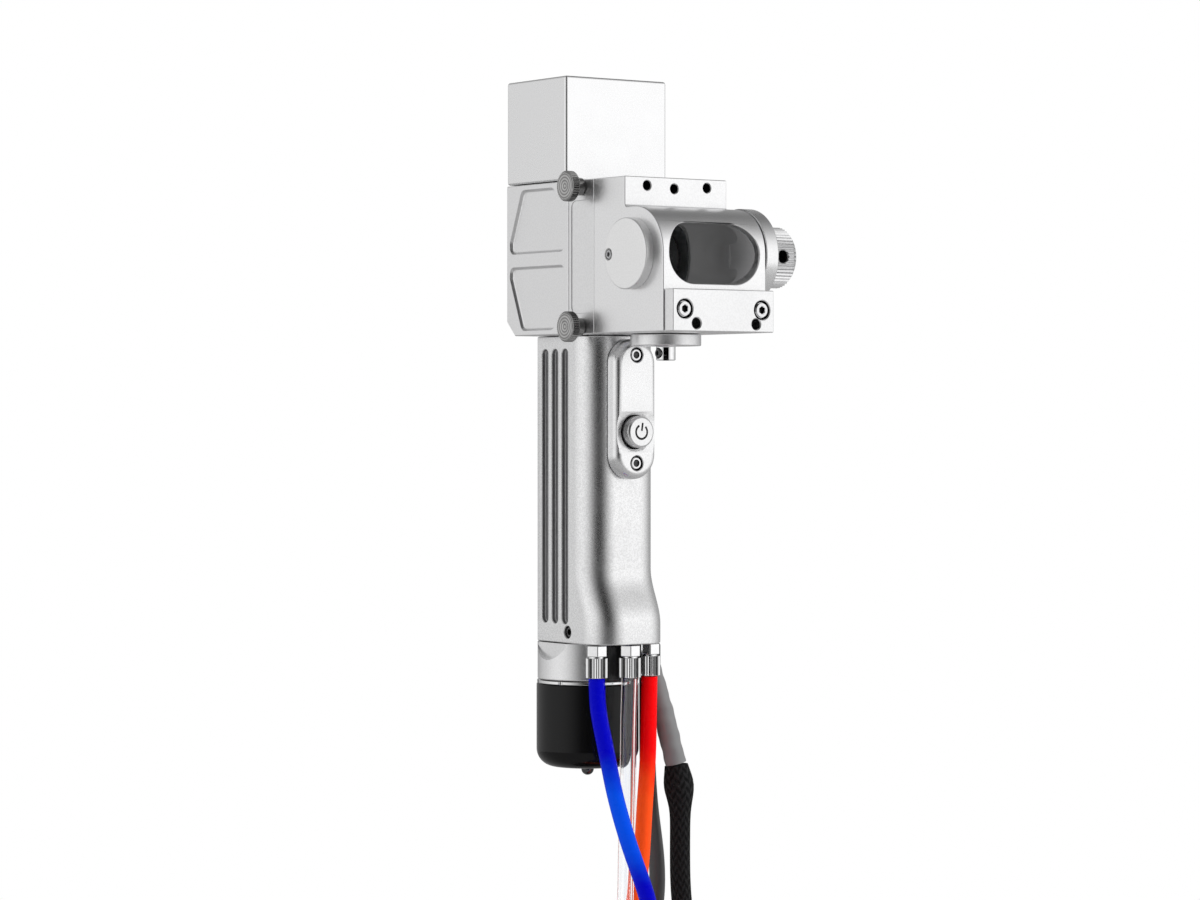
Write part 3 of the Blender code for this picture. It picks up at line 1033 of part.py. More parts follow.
# Round plugs of the two cables: body radius, body length and boot radius
PLUGS = {"control_cable": (0.0080, 0.0320, 0.0044), "interlock_cable": (0.0065, 0.0280, 0.0038)}
PLUG_BOOT_LENGTH = 0.0120
FOLD_DIAMETERS = 3.0      # radius of a hank's innermost fold, in diameters
LAYER_SPACE = 0.0002
CORD_STEP = 2.2           # length of a cord's straight pieces, in diameters


def spline_through(points, spacing):
    """Points a spacing apart on a smooth cubic curve that leaves along the first leg of the points."""
    knots = np.array(points, float)
    steps = np.linalg.norm(np.diff(knots, axis=0), axis=1)
    place = np.concatenate(([0.0], np.cumsum(steps)))
    count = len(knots)
    matrix = np.zeros((count, count))
    right = np.zeros((count, knots.shape[1]))
    matrix[0, 0] = matrix[-1, -1] = 1.0
    right[0] = (knots[1] - knots[0]) / steps[0]
    right[-1] = (knots[-1] - knots[-2]) / steps[-1]
    for i in range(1, count - 1):
        before, after = steps[i - 1], steps[i]
        matrix[i, i - 1], matrix[i, i], matrix[i, i + 1] = 1 / before, 2 / before + 2 / after, 1 / after
        right[i] = 3 * ((knots[i] - knots[i - 1]) / before ** 2 + (knots[i + 1] - knots[i]) / after ** 2)
    slopes = np.linalg.solve(matrix, right)
    total = max(2, round(place[-1] / spacing))
    found = []
    for s in np.linspace(0, place[-1], total + 1):
        i = min(int(np.searchsorted(place, s, side="right")) - 1, count - 2)
        t = (s - place[i]) / steps[i]
        here = (2 * t ** 3 - 3 * t ** 2 + 1) * knots[i] + (t ** 3 - 2 * t ** 2 + t) * steps[i] * slopes[i]
        ahead = (3 * t ** 2 - 2 * t ** 3) * knots[i + 1] + (t ** 3 - t ** 2) * steps[i] * slopes[i + 1]
        found.append(here + ahead)
    return found


def tube(name, points, radii, finish):
    """Curve of straight pieces with a round bevel and closed ends."""
    data = bpy.data.curves.new(name, "CURVE")
    data.dimensions = "3D"
    data.bevel_depth = max(radii)
    data.bevel_resolution = 3
    data.resolution_u = 1
    data.render_resolution_u = 0
    data.use_fill_caps = True
    spline = data.splines.new("POLY")
    spline.points.add(len(points) - 1)
    for knot, point, radius in zip(spline.points, points, radii):
        knot.co = (*point, 1)
        knot.radius = radius / max(radii)
    thing = bpy.data.objects.new(name, data)
    bpy.context.scene.collection.objects.link(thing)
    add_finish(thing, finish)


def cords():
    boot = [(x, y, GRIP_BOTTOM - drop) for x, y, drop, _ in BOOT_ROUTE]
    tube("cable_boot", boot, [row[3] for row in BOOT_ROUTE], SHRINK)
    for name, diameter, *_ in HANKS:
        route = [(x, y, GRIP_BOTTOM - drop) for x, y, drop in ROUTES[name]]
        points = spline_through(route, diameter * CORD_STEP)
        tube(name, points, [diameter / 2] * len(points), CORD_FINISH[name])


def hanks():
    """Outer shape of each wound cord, the tie round them all, and the two cables' plugs."""
    front = HANK_FRONT
    widest = 0
    for name, diameter, turns, layers, straight in HANKS:
        outer = diameter * (FOLD_DIAMETERS + turns - 0.5)
        depth = layers * (diameter + LAYER_SPACE)
        widest = max(widest, outer)
        outline = stadium((0, HANK_TOP - straight / 2), outer, straight / 2 + outer, 12)
        label = name.split("_")[0]
        prism(f"{label}_hank", outline, "Y", front, front + depth, CORD_FINISH[name], smooth=True)
        if name in PLUGS:
            radius, length, boot = PLUGS[name]
            run = outer - diameter / 2
            reach = GAP + math.sqrt(outer ** 2 - (run - boot) ** 2)
            place = (run, front + depth - diameter / 2)
            plug(f"{label}_plug", place, HANK_TOP - straight - reach, radius, length, boot)
        front += depth + HANK_SPACE
    hank_tie(widest, front - HANK_SPACE)


def plug(name, place, top, radius, length, boot):
    """Round cable plug that hangs with its boot at the top."""
    nut = top - PLUG_BOOT_LENGTH
    end = nut - length
    turned(name, [
        (0, top), (boot, top), (boot * 1.1, nut), (radius, nut), (radius, nut - length * 0.45),
        (radius * 0.9, nut - length * 0.5), (radius * 0.9, end), (radius * 0.75, end),
        (radius * 0.75, end + length * 0.3), (0, end + length * 0.3)], "Z", place, STEEL, sides=SMALL_ROUND)


def hank_tie(half_width, back):
    """Strap round all the hanks."""
    inner_x = half_width + GAP
    corners = {}
    for label, extra in (("inner", 0), ("outer", TIE_THICKNESS)):
        x = inner_x + extra
        low, high = HANK_FRONT - GAP - extra, back + GAP + extra
        corners[label] = rounded([(-x, low), (x, low), (x, high), (-x, high)], GAP + extra)
    tie = prism("hank_tie", corners["outer"], "Z", TIE_Z - TIE_WIDTH / 2, TIE_Z + TIE_WIDTH / 2, PLASTIC)
    cut(tie, prism("cut_tie_inside", corners["inner"], "Z", TIE_Z - TIE_WIDTH, TIE_Z + TIE_WIDTH))


def build():
    remove_everything()
    main_body()
    galvo_cover()
    scanner()
    driver_board()
    focus_optics()
    front_block()
    chamber_parts()
    side_cap()
    end_ring_and_knob()
    front_bar()
    lower_clamp()
    lens_drawer()
    grip_shell()
    switch_plate()
    power_button()
    collimator()
    fibre_receptacle()
    lock_ring()
    dust_cap()
    fittings()
    entry_block()
    side_outlet()
    cords()
    hanks()


build()
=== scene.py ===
"""Looks of a handheld laser cleaning head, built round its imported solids.

Sizes are in millimetres until a mesh is made. -Y is the way the beam leaves, -X the drawer's side, +Z up.
"""
import math

import bmesh
import bpy
import numpy as np
from mathutils import Matrix, Vector


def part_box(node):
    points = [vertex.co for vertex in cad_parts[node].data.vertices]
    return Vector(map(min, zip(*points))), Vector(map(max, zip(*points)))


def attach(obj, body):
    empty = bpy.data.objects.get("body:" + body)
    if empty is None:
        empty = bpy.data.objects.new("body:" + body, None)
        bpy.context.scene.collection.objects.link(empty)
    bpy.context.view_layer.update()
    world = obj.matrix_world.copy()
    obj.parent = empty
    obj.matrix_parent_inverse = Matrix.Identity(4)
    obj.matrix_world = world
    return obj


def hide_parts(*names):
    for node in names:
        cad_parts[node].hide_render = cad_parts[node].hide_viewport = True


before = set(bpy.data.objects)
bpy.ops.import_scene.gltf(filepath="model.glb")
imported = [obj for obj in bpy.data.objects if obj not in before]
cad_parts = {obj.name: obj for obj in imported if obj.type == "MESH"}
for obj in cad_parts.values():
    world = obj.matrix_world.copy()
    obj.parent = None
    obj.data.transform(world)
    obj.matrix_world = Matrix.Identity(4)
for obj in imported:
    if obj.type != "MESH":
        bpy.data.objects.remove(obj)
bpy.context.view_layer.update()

MM = 0.001
FINE = 96                 # sides of a large turned piece
SMALL = 40                # sides of a small one
AXES = {"X": Vector((1, 0, 0)), "Y": Vector((0, 1, 0)), "Z": Vector((0, 0, 1))}

# The head's own sizes, as in its solids
HALF_WIDTH = 22.7
HEAD_LOW, HEAD_TOP, BEAM_Z = 56.5, 112.0, 84.25
BODY_FRONT, BODY_BACK = -20.2, 19.8
DRAWER_FRONT, DRAWER_BACK = -36.0, -20.5
DRAWER_Y = -28.25
FLANGE_HOLES = ((-12.8, 3.1), (-0.8, 3.9), (13.8, 3.1))   # X, and how far below the top
FLANGE_FRONT = -54.9
NOSE_Y, NOSE_RADIUS, NOSE_FRONT = -61.0, 16.8, -77.8
BORE_RADIUS = 14.2
CAP_Y = NOSE_Y + 1.1
BAR_BACK, BAR_FRONT, BAR_TOP = -78.1, -83.0, 71.4
CLAMP_Y = -48.7
GRIP_LOW, GRIP_TOP = -56.1, 56.2
GRIP_HALF = 16.0
FRONT_EDGE, FRONT_EDGE_Y = 11.0, -14.1   # round edges of the grip's front, and their centres
BUTTON_Z = 21.2
PLATE_Z, PLATE_FRONT = 29.5, -31.1
COLLAR_TOP, COLLAR_LOW = -56.4, -70.0

# The camera, fitted to the straight edges of the photograph
LENS_PIXELS = 3526.0
FRAME_WIDTH = 1200
CAMERA_AZIMUTH = math.radians(-35.4)
CAMERA_DISTANCE = 1305.0
CAMERA_SIDE = 4.6
CAMERA_HEIGHT = 27.0
CAMERA_DIP = math.atan(34.0 / LENS_PIXELS)
TO_CAMERA = Vector((math.sin(CAMERA_AZIMUTH), -math.cos(CAMERA_AZIMUTH), 0))
CAMERA_RIGHT = Vector((math.cos(CAMERA_AZIMUTH), math.sin(CAMERA_AZIMUTH), 0))


def set_camera():
    data = bpy.data.cameras.new("camera")
    data.sensor_width = 36.0
    data.lens = LENS_PIXELS / FRAME_WIDTH * data.sensor_width
    data.clip_end = 50
    camera = bpy.data.objects.new("camera", data)
    bpy.context.scene.collection.objects.link(camera)
    place = TO_CAMERA * CAMERA_DISTANCE + CAMERA_RIGHT * CAMERA_SIDE + Vector((0, 0, CAMERA_HEIGHT))
    camera.location = place * MM
    camera.rotation_euler = (math.pi / 2 - CAMERA_DIP, 0, CAMERA_AZIMUTH)
    bpy.context.scene.camera = camera


# Shader trees

class Value:
    """A shader socket that Python's arithmetic works on."""

    def __init__(self, tree, socket):
        self.tree, self.socket = tree, socket

    def maths(self, operation, other=None, swap=False):
        pair = [self] if other is None else [other, self] if swap else [self, other]
        return self.tree.add("ShaderNodeMath", {"operation": operation}, dict(enumerate(pair))).out()

    def __add__(self, other):
        return self.maths("ADD", other)

    def __sub__(self, other):
        return self.maths("SUBTRACT", other)

    def __rsub__(self, other):
        return self.maths("SUBTRACT", other, swap=True)

    def __mul__(self, other):
        return self.maths("MULTIPLY", other)

    def __truediv__(self, other):
        return self.maths("DIVIDE", other)

    __radd__, __rmul__ = __add__, __mul__


class Step:
    """A node in a shader tree, and how to take its outputs."""

    def __init__(self, tree, node):
        self.tree, self.node = tree, node

    def out(self, name=0):
        return Value(self.tree, self.node.outputs[name])


class Shader:
    """A shader tree; add() is the one way in which nodes come into it."""

    def __init__(self, owner):
        owner.use_nodes = True
        self.nodes, self.links = owner.node_tree.nodes, owner.node_tree.links

    def add(self, kind, settings=None, inputs=None):
        node = self.nodes.new(kind)
        for name, value in (settings or {}).items():
            if name == "stops":
                self.set_stops(node.color_ramp, value)
            else:
                setattr(node, name, value)
        for name, value in (inputs or {}).items():
            self.feed(node.inputs[name], value)
        return Step(self, node)

    def feed(self, socket, value):
        if isinstance(value, Step):
            value = value.out()
        if isinstance(value, Value):
            self.links.new(value.socket, socket)
        else:
            socket.default_value = value

    @staticmethod
    def set_stops(ramp, stops):
        while len(ramp.elements) < len(stops):
            ramp.elements.new(1.0)
        for element, (place, colour) in zip(ramp.elements, stops):
            element.position = place
            element.color = (*colour, 1)

    def place(self):
        return self.add("ShaderNodeTexCoord").out("Object")

    def parts(self, vector):
        split = self.add("ShaderNodeSeparateXYZ", inputs={0: vector})
        return [split.out(i) for i in range(3)]

    def noise(self, scale, detail=2.0, vector=None, roughness=0.5):
        inputs = {"Vector": vector or self.place(), "Scale": scale, "Detail": detail, "Roughness": roughness}
        return self.add("ShaderNodeTexNoise", inputs=inputs).out("Fac")

    def band(self, value, low, high, start=0.0, end=1.0):
        """Value mapped smoothly from low..high to start..end."""
        inputs = {"Value": value, "From Min": low, "From Max": high, "To Min": start, "To Max": end}
        return self.add("ShaderNodeMapRange", {"interpolation_type": "SMOOTHSTEP"}, inputs).out()

    def blend(self, factor, first, second):
        """Colour mix; the two colours are triples or sockets."""
        first, second = [(*c, 1) if isinstance(c, tuple) else c for c in (first, second)]
        step = self.add("ShaderNodeMix", {"data_type": "RGBA"}, {0: factor, 6: first, 7: second})
        return step.out(2)

    def bump(self, height, depth, normal=None):
        """Bump of a height from 0 to 1 that stands for a depth in millimetres."""
        inputs = {"Height": height, "Distance": depth * MM, "Strength": 1.0}
        if normal:
            inputs["Normal"] = normal
        return self.add("ShaderNodeBump", inputs=inputs).out()


def finish(name, **sockets):
    """New material with the given Principled sockets; a function's result is made in the material's tree."""
    material = bpy.data.materials.new(name)
    shader = Shader(material)
    principled = shader.nodes["Principled BSDF"]
    for label, value in sockets.items():
        value = value(shader) if callable(value) else value
        if isinstance(value, tuple) and len(value) == 3:
            value = (*value, 1)
        shader.feed(principled.inputs[label.replace("_", " ").title().replace("Ior", "IOR")], value)
    return material


def blasted(name, tone, roughness, grain=0.0, pitting=0.010, scale=1900):
    """Bead-blasted, clear anodised aluminium: a fine even grain, and faint large clouds in its sheen."""
    dark, light = tuple(c * (1 - grain) for c in tone), tuple(min(1.0, c * (1 + grain * 0.4)) for c in tone)
    return finish(
        name, metallic=1.0,
        base_color=lambda s: s.blend(s.band(s.noise(scale, 1.0), 0.36, 0.64), dark, light),
        roughness=lambda s: s.band(s.noise(60, 3.0), 0.3, 0.7, roughness - 0.02, roughness + 0.03)
        + (s.noise(scale * 0.8, 1.0) - 0.5) * 0.10,
        normal=lambda s: s.bump(s.noise(scale * 0.9, 1.5), pitting))


def turned_metal(name, tone, roughness, axis, centre, pitch, depth):
    """Metal with the fine rings that a lathe leaves round an axis."""
    def rings(s, coarser=1.0):
        apart = s.parts(s.place())
        across = [i for i in range(3) if "XYZ"[i] != axis]
        offsets = [apart[i] - c * MM for i, c in zip(across, centre)]
        radius = (offsets[0] * offsets[0] + offsets[1] * offsets[1]).maths("POWER", 0.5)
        wobble = s.noise(900, 2.0) * 0.25
        return (radius * (math.tau / (pitch * coarser * MM)) + wobble).maths("SINE") * 0.5 + 0.5

    return finish(
        name, metallic=1.0,
        base_color=lambda s: s.blend(rings(s, 2.7), tuple(c * 0.42 for c in tone), tone),
        roughness=lambda s: s.band(s.noise(700, 2.0), 0.3, 0.7, roughness - 0.05, roughness + 0.08),
        normal=lambda s: s.bump(rings(s), depth))


def moulded(name, colour, roughness, depth, scale=900, gloss=0.5):
    """Moulded plastic with a faint grain."""
    return finish(
        name, specular_ior_level=gloss,
        base_color=lambda s: s.blend(s.noise(80, 3.0), tuple(c * 0.8 for c in colour), colour),
        roughness=lambda s: s.band(s.noise(120, 4.0), 0.3, 0.7, roughness * 0.85, roughness * 1.25),
        normal=lambda s: s.bump(s.noise(scale, 2.0), depth))


def tinted_hose(name, deep, pale, fades):
    """Coloured tube: deep where it leaves its fitting, and painted paler further on, a painted stand-in for the light
    that comes through it.
    """
    def colour(s):
        _, along, _ = s.parts(s.add("ShaderNodeUVMap", {"uv_map": "cord"}).out())
        # Painted light: past about 50 mm along the cord the colour turns to the paler tone.
        cloud = along + s.noise(60, 3.0) * 30
        return s.blend(s.band(cloud, 38, 62) * s.band(cloud, fades + 28, fades), deep, pale)

    return finish(
        name, base_color=colour, specular_ior_level=0.06,
        roughness=lambda s: s.band(s.noise(300, 2.0), 0.3, 0.7, 0.22, 0.34),
        normal=lambda s: s.bump(s.noise(160, 3.0), 0.02))


def clear_hose_finish():
    return finish(
        "clear_tube", base_color=(0.96, 0.97, 0.98), ior=1.42, transmission_weight=1.0,
        roughness=lambda s: s.band(s.noise(200, 2.0), 0.3, 0.7, 0.0, 0.02),
        normal=lambda s: s.bump(s.noise(60, 2.0), 0.004))


def braid_pattern(s, turns, pitch):
    """Height of a plaited sleeve on the cord's own map: u once round it, v along it in millimetres."""
    u, v, _ = s.parts(s.add("ShaderNodeUVMap", {"uv_map": "cord"}).out())
    first = ((u * turns + v / pitch) * math.tau).maths("SINE")
    second = ((u * turns - v / pitch) * math.tau).maths("SINE")
    over = s.band((u * turns * math.tau).maths("SINE"), -0.15, 0.15)
    strand = first * over + second * (1.0 - over)
    fibres = ((u * turns * 5 + v * 5 / pitch) * math.tau).maths("SINE") * over
    fibres = fibres + ((u * turns * 5 - v * 5 / pitch) * math.tau).maths("SINE") * (1.0 - over)
    return strand * 0.38 + fibres * 0.12 + 0.5


def braid_finish():
    def colour(s):
        frayed = s.band(s.noise(2600, 1.0), 0.60, 0.72)
        black = s.blend(braid_pattern(s, 9, 3.6), (0.002, 0.002, 0.002), (0.018, 0.018, 0.0185))
        return s.blend(frayed * 0.2, black, (0.10, 0.10, 0.105))

    return finish("plaited_sleeve", base_color=colour, specular_ior_level=0.12,
                  roughness=lambda s: s.band(braid_pattern(s, 9, 3.6), 0.2, 0.8, 0.8, 0.5),
                  normal=lambda s: s.bump(braid_pattern(s, 9, 3.6), 0.45))


def jacket(name, colour, roughness):
    """Cable jacket, dull, with print-free faint rings from its extrusion."""
    return finish(
        name, base_color=lambda s: s.blend(s.noise(70, 4.0), tuple(c * 0.85 for c in colour), colour),
        roughness=lambda s: s.band(s.noise(400, 3.0), 0.3, 0.7, roughness - 0.08, roughness + 0.08),
        normal=lambda s: s.bump(s.noise(700, 3.0), 0.03))


def webbing_finish():
    def weave(s):
        x, y, z = s.parts(s.place())
        return ((z * 2400).maths("SINE") * ((x + y) * 2400).maths("SINE")) * 0.5 + 0.5

    return finish("tie_webbing", base_color=lambda s: s.blend(weave(s), (0.012, 0.012, 0.013), (0.035, 0.035, 0.037)),
                  roughness=lambda s: s.band(weave(s), 0.2, 0.8, 0.85, 0.7),
                  normal=lambda s: s.bump(weave(s), 0.2))


# Meshes

def link(name, edit):
    mesh = bpy.data.meshes.new(name)
    bmesh.ops.scale(edit, vec=(MM, MM, MM), verts=edit.verts)
    bmesh.ops.recalc_face_normals(edit, faces=edit.faces)
    edit.to_mesh(mesh)
    edit.free()
    thing = bpy.data.objects.new(name, mesh)
    bpy.context.scene.collection.objects.link(thing)
    return thing


def in_space(axis, along, across):
    if axis == "X":
        return Vector((along, across[0], across[1]))
    if axis == "Y":
        return Vector((across[0], along, across[1]))
    return Vector((across[0], across[1], along))


def block(name, low, high):
    edit = bmesh.new()
    bmesh.ops.create_cube(edit, size=1)
    low, high = Vector(low), Vector(high)
    bmesh.ops.scale(edit, vec=high - low, verts=edit.verts)
    bmesh.ops.translate(edit, vec=(low + high) / 2, verts=edit.verts)
    return link(name, edit)


def prism(name, outline, axis, start, end):
    edit = bmesh.new()
    face = edit.faces.new([edit.verts.new(in_space(axis, start, point)) for point in outline])
    moved = bmesh.ops.extrude_face_region(edit, geom=[face])["geom"]
    corners = [part for part in moved if isinstance(part, bmesh.types.BMVert)]
    bmesh.ops.translate(edit, vec=AXES[axis] * (end - start), verts=corners)
    return link(name, edit)


def lathe(name, profile, axis, centre=(0, 0), sides=FINE, ring=False):
    """Profile of (radius, place along the axis) spun round the axis."""
    edit = bmesh.new()
    verts = [edit.verts.new(in_space(axis, along, (centre[0] + radius, centre[1])))
             for radius, along in profile]
    legs = len(verts) if ring else len(verts) - 1
    edges = [edit.edges.new((verts[i], verts[(i + 1) % len(verts)])) for i in range(legs)]
    bmesh.ops.spin(edit, geom=verts + edges, cent=in_space(axis, 0, centre), axis=AXES[axis],
                   angle=math.tau, steps=sides, use_merge=True)
    bmesh.ops.remove_doubles(edit, verts=edit.verts, dist=1e-4)
    return link(name, edit)


def rod(name, axis, centre, radius, start, end, sides=SMALL):
    return lathe(name, [(0, start), (radius, start), (radius, end), (0, end)], axis, centre, sides)


def loft(name, loops, closed=True):
    """Skin over loops of equal length, capped at both ends."""
    edit = bmesh.new()
    rows = [[edit.verts.new(point) for point in loop] for loop in loops]
    count = len(rows[0])
    for first, second in zip(rows, rows[1:]):
        for i in range(count):
            edit.faces.new((first[i], first[(i + 1) % count], second[(i + 1) % count], second[i]))
    if closed:
        edit.faces.new(rows[0])
        edit.faces.new(rows[-1])
    return link(name, edit)


def plain_mesh(thing):
    """Replace an object's mesh by the one that its modifiers give."""
    scene_graph = bpy.context.evaluated_depsgraph_get()
    mesh = bpy.data.meshes.new_from_object(thing.evaluated_get(scene_graph))
    thing.modifiers.clear()
    old, thing.data = thing.data, mesh
    bpy.data.meshes.remove(old)
    return thing


def carve(thing, *cutters, operation="DIFFERENCE"):
    """Cut with other solids, or join them, and delete them."""
    for cutter in cutters:
        change = thing.modifiers.new(cutter.name, "BOOLEAN")
        change.operation, change.object, change.solver = operation, cutter, "EXACT"
    plain_mesh(thing)
    for cutter in cutters:
        bpy.data.objects.remove(cutter)
    return thing


def smooth(thing, angle=34, weighted=True):
    thing.data.shade_smooth()
    thing.data.set_sharp_from_angle(angle=math.radians(angle))
    if weighted:
        normals = thing.modifiers.new("normals", "WEIGHTED_NORMAL")
        normals.keep_sharp = True
        plain_mesh(thing)
    return thing


def dress(thing, body, material, slot, *nodes):
    """Give a piece its finish, its CAD body and the solids it stands for."""
    thing.data.materials.clear()
    thing.data.materials.append(material)
    for face in thing.data.polygons:
        face.material_index = 0
    if nodes:
        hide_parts(*nodes)
    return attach(thing, body)


def paint(thing, material, inside):
    """Second finish for the faces whose middle, in millimetres, passes a test."""
    thing.data.materials.append(material)
    index = len(thing.data.materials) - 1
    for face in thing.data.polygons:
        if inside(face.center / MM):
            face.material_index = index
    return thing


def near(places, radius, start, end):
    """Test for the inside of holes that run along Y: places are (X, Z)."""
    return lambda c: start < c.y < end and any(math.hypot(c.x - x, c.z - z) < radius for x, z in places)


def repaint(material, *nodes):
    for node in nodes:
        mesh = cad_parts[node].data
        mesh.materials.clear()
        mesh.materials.append(material)


def arc(centre, radius, start, end, steps):
    angles = [math.radians(start + (end - start) * i / steps) for i in range(steps + 1)]
    return [(centre[0] + radius * math.cos(a), centre[1] + radius * math.sin(a)) for a in angles]


def rounded(corners, radius, steps=8):
    """Outline with every corner rounded."""
    outline = []
    count = len(corners)
    for i in range(count):
        before, here, after = (Vector(corners[(i + k) % count]) for k in (-1, 0, 1))
        to_before, to_after = (before - here).normalized(), (after - here).normalized()
        half = to_before.angle(to_after) / 2
        reach = min(radius / math.tan(half), (before - here).length / 2.01, (after - here).length / 2.01)
        true_radius = reach * math.tan(half)
        centre = here + (to_before + to_after).normalized() * (true_radius / math.sin(half))
        first, last = here + to_before * reach - centre, here + to_after * reach - centre
        turn = first.angle_signed(last)
        outline += [tuple(centre + Matrix.Rotation(-turn * k / steps, 2) @ first) for k in range(steps + 1)]
    return outline


def stadium(centre, half_width, half_height, steps=24):
    radius = min(half_width, half_height)
    dx, dz = half_width - radius, half_height - radius
    if dz > dx:
        return (arc((centre[0], centre[1] + dz), radius, 0, 180, steps)
                + arc((centre[0], centre[1] - dz), radius, 180, 360, steps))
    return (arc((centre[0] + dx, centre[1]), radius, -90, 90, steps)
            + arc((centre[0] - dx, centre[1]), radius, 90, 270, steps))


# Trees that set out what repeats

class Growth:
    """A geometry tree with named inputs, which ends in real, painted faces."""

    def __init__(self, name, inputs):
        self.tree = bpy.data.node_groups.new(name, "GeometryNodeTree")
        for label, kind in inputs:
            self.tree.interface.new_socket(label, in_out="INPUT", socket_type=kind)
        self.tree.interface.new_socket("Geometry", in_out="OUTPUT", socket_type="NodeSocketGeometry")
        self.given = self.tree.nodes.new("NodeGroupInput").outputs

    def add(self, kind, inputs=None, output=0, **settings):
        node = self.tree.nodes.new(kind)
        for name, value in settings.items():
            setattr(node, name, value)
        for name, value in (inputs or {}).items():
            if isinstance(value, bpy.types.NodeSocket):
                self.tree.links.new(value, node.inputs[name])
            else:
                node.inputs[name].default_value = value
        return node.outputs[output]

    def maths(self, operation, first, second):
        return self.add("ShaderNodeMath", {0: first, 1: second}, operation=operation)

    def end(self, geometry):
        real = self.add("GeometryNodeRealizeInstances", {"Geometry": geometry})
        painted = self.add("GeometryNodeSetMaterial", {"Geometry": real, "Material": self.given["Finish"]})
        self.tree.links.new(painted, self.tree.nodes.new("NodeGroupOutput").inputs["Geometry"])

    def grow(self, name, start=None, **values):
        """New object from the tree; a value's name is its input's name."""
        mesh = start.data.copy() if start else bpy.data.meshes.new(name)
        thing = bpy.data.objects.new(name, mesh)
        bpy.context.scene.collection.objects.link(thing)
        change = thing.modifiers.new("growth", "NODES")
        change.node_group = self.tree
        for item in self.tree.interface.items_tree:
            if item.in_out == "INPUT" and item.name in values:
                change[item.identifier] = values[item.name]
        return plain_mesh(thing)


def knurl_tree():
    """Straight V teeth on a drum round Z: bars with a square section, set on edge with their corners outwards."""
    growth = Growth("straight_knurl", (
        ("Teeth", "NodeSocketInt"), ("Radius", "NodeSocketFloat"), ("Tooth", "NodeSocketFloat"),
        ("Length", "NodeSocketFloat"), ("Finish", "NodeSocketMaterial")))
    given = growth.given
    bar = growth.add("GeometryNodeMeshCylinder", {"Vertices": 4, "Radius": given["Tooth"], "Depth": given["Length"]})
    circle = growth.add("GeometryNodeMeshCircle", {
        "Vertices": given["Teeth"], "Radius": growth.maths("SUBTRACT", given["Radius"], given["Tooth"])})
    outward = growth.add("FunctionNodeAlignRotationToVector", {"Vector": growth.add("GeometryNodeInputPosition")},
                         axis="X")
    growth.end(growth.add("GeometryNodeInstanceOnPoints", {"Points": circle, "Instance": bar, "Rotation": outward}))
    return growth


def scatter_tree():
    """One fastener set on every point of a mesh."""
    growth = Growth("set_on_points", (
        ("Geometry", "NodeSocketGeometry"), ("Fastener", "NodeSocketObject"), ("Finish", "NodeSocketMaterial")))
    given = growth.given
    shape = growth.add("GeometryNodeObjectInfo", {"Object": given["Fastener"]}, output="Geometry")
    growth.end(growth.add("GeometryNodeInstanceOnPoints", {"Points": given["Geometry"], "Instance": shape}))
    return growth

# Cords

def spline_through(points, step):
    """Points about a step apart on a smooth cubic curve that leaves along the first leg of the points."""
    knots = np.array(points, float)
    legs = np.linalg.norm(np.diff(knots, axis=0), axis=1)
    place = np.concatenate(([0.0], np.cumsum(legs)))
    count = len(knots)
    matrix, right = np.zeros((count, count)), np.zeros((count, 3))
    matrix[0, 0] = matrix[-1, -1] = 1.0
    right[0] = (knots[1] - knots[0]) / legs[0]
    right[-1] = (knots[-1] - knots[-2]) / legs[-1]
    for i in range(1, count - 1):
        before, after = legs[i - 1], legs[i]
        matrix[i, i - 1], matrix[i, i], matrix[i, i + 1] = 1 / before, 2 / before + 2 / after, 1 / after
        right[i] = 3 * ((knots[i] - knots[i - 1]) / before ** 2 + (knots[i + 1] - knots[i]) / after ** 2)
    slopes = np.linalg.solve(matrix, right)
    found = []
    for s in np.linspace(0, place[-1], max(2, round(place[-1] / step)) + 1):
        i = min(int(np.searchsorted(place, s, side="right")) - 1, count - 2)
        t = (s - place[i]) / legs[i]
        here = (2 * t ** 3 - 3 * t ** 2 + 1) * knots[i] + (t ** 3 - 2 * t ** 2 + t) * legs[i] * slopes[i]
        ahead = (3 * t ** 2 - 2 * t ** 3) * knots[i + 1] + (t ** 3 - t ** 2) * legs[i] * slopes[i + 1]
        found.append(tuple(here + ahead))
    return found


def winding(radii, layers, start_y, layer_step, straight, side, plug_top=None):
    """Hank wound turn by turn, from the outer turn in and out again; side is where the cord comes in."""
    turns = []
    for layer in range(layers):
        order = radii if layer % 2 == 0 else radii[::-1]
        turns += [(radius, start_y + layer * layer_step) for radius in order]
    top, low = HANK_TOP, HANK_TOP - straight
    path = []
    for i, (radius, y) in enumerate(turns):
        path += [(side * radius, y, top + (low - top) * k / 8) for k in range(1, 8)]
        if i == len(turns) - 1 and plug_top is not None:
            return path + [(side * radius, y, low), (side * radius, y, (low + plug_top) / 2),
                           (side * radius, y, plug_top)]
        for k in range(13):
            angle = math.pi * k / 12
            path.append((side * radius * math.cos(angle), y, low - radius * math.sin(angle)))
        path += [(-side * radius, y, low + (top - low) * k / 8) for k in range(1, 8)]
        if i == len(turns) - 1:
            return path + [(-side * radius, y, top)]
        next_radius, next_y = turns[i + 1]
        for k in range(13):
            share = k / 12
            ease_in = share * share * (3 - 2 * share)
            here = radius + (next_radius - radius) * ease_in
            path.append((-side * here * math.cos(math.pi * share), y + (next_y - y) * ease_in,
                         top + here * math.sin(math.pi * share)))
    return path


def length_of(path):
    return sum(math.dist(a, b) for a, b in zip(path, path[1:]))


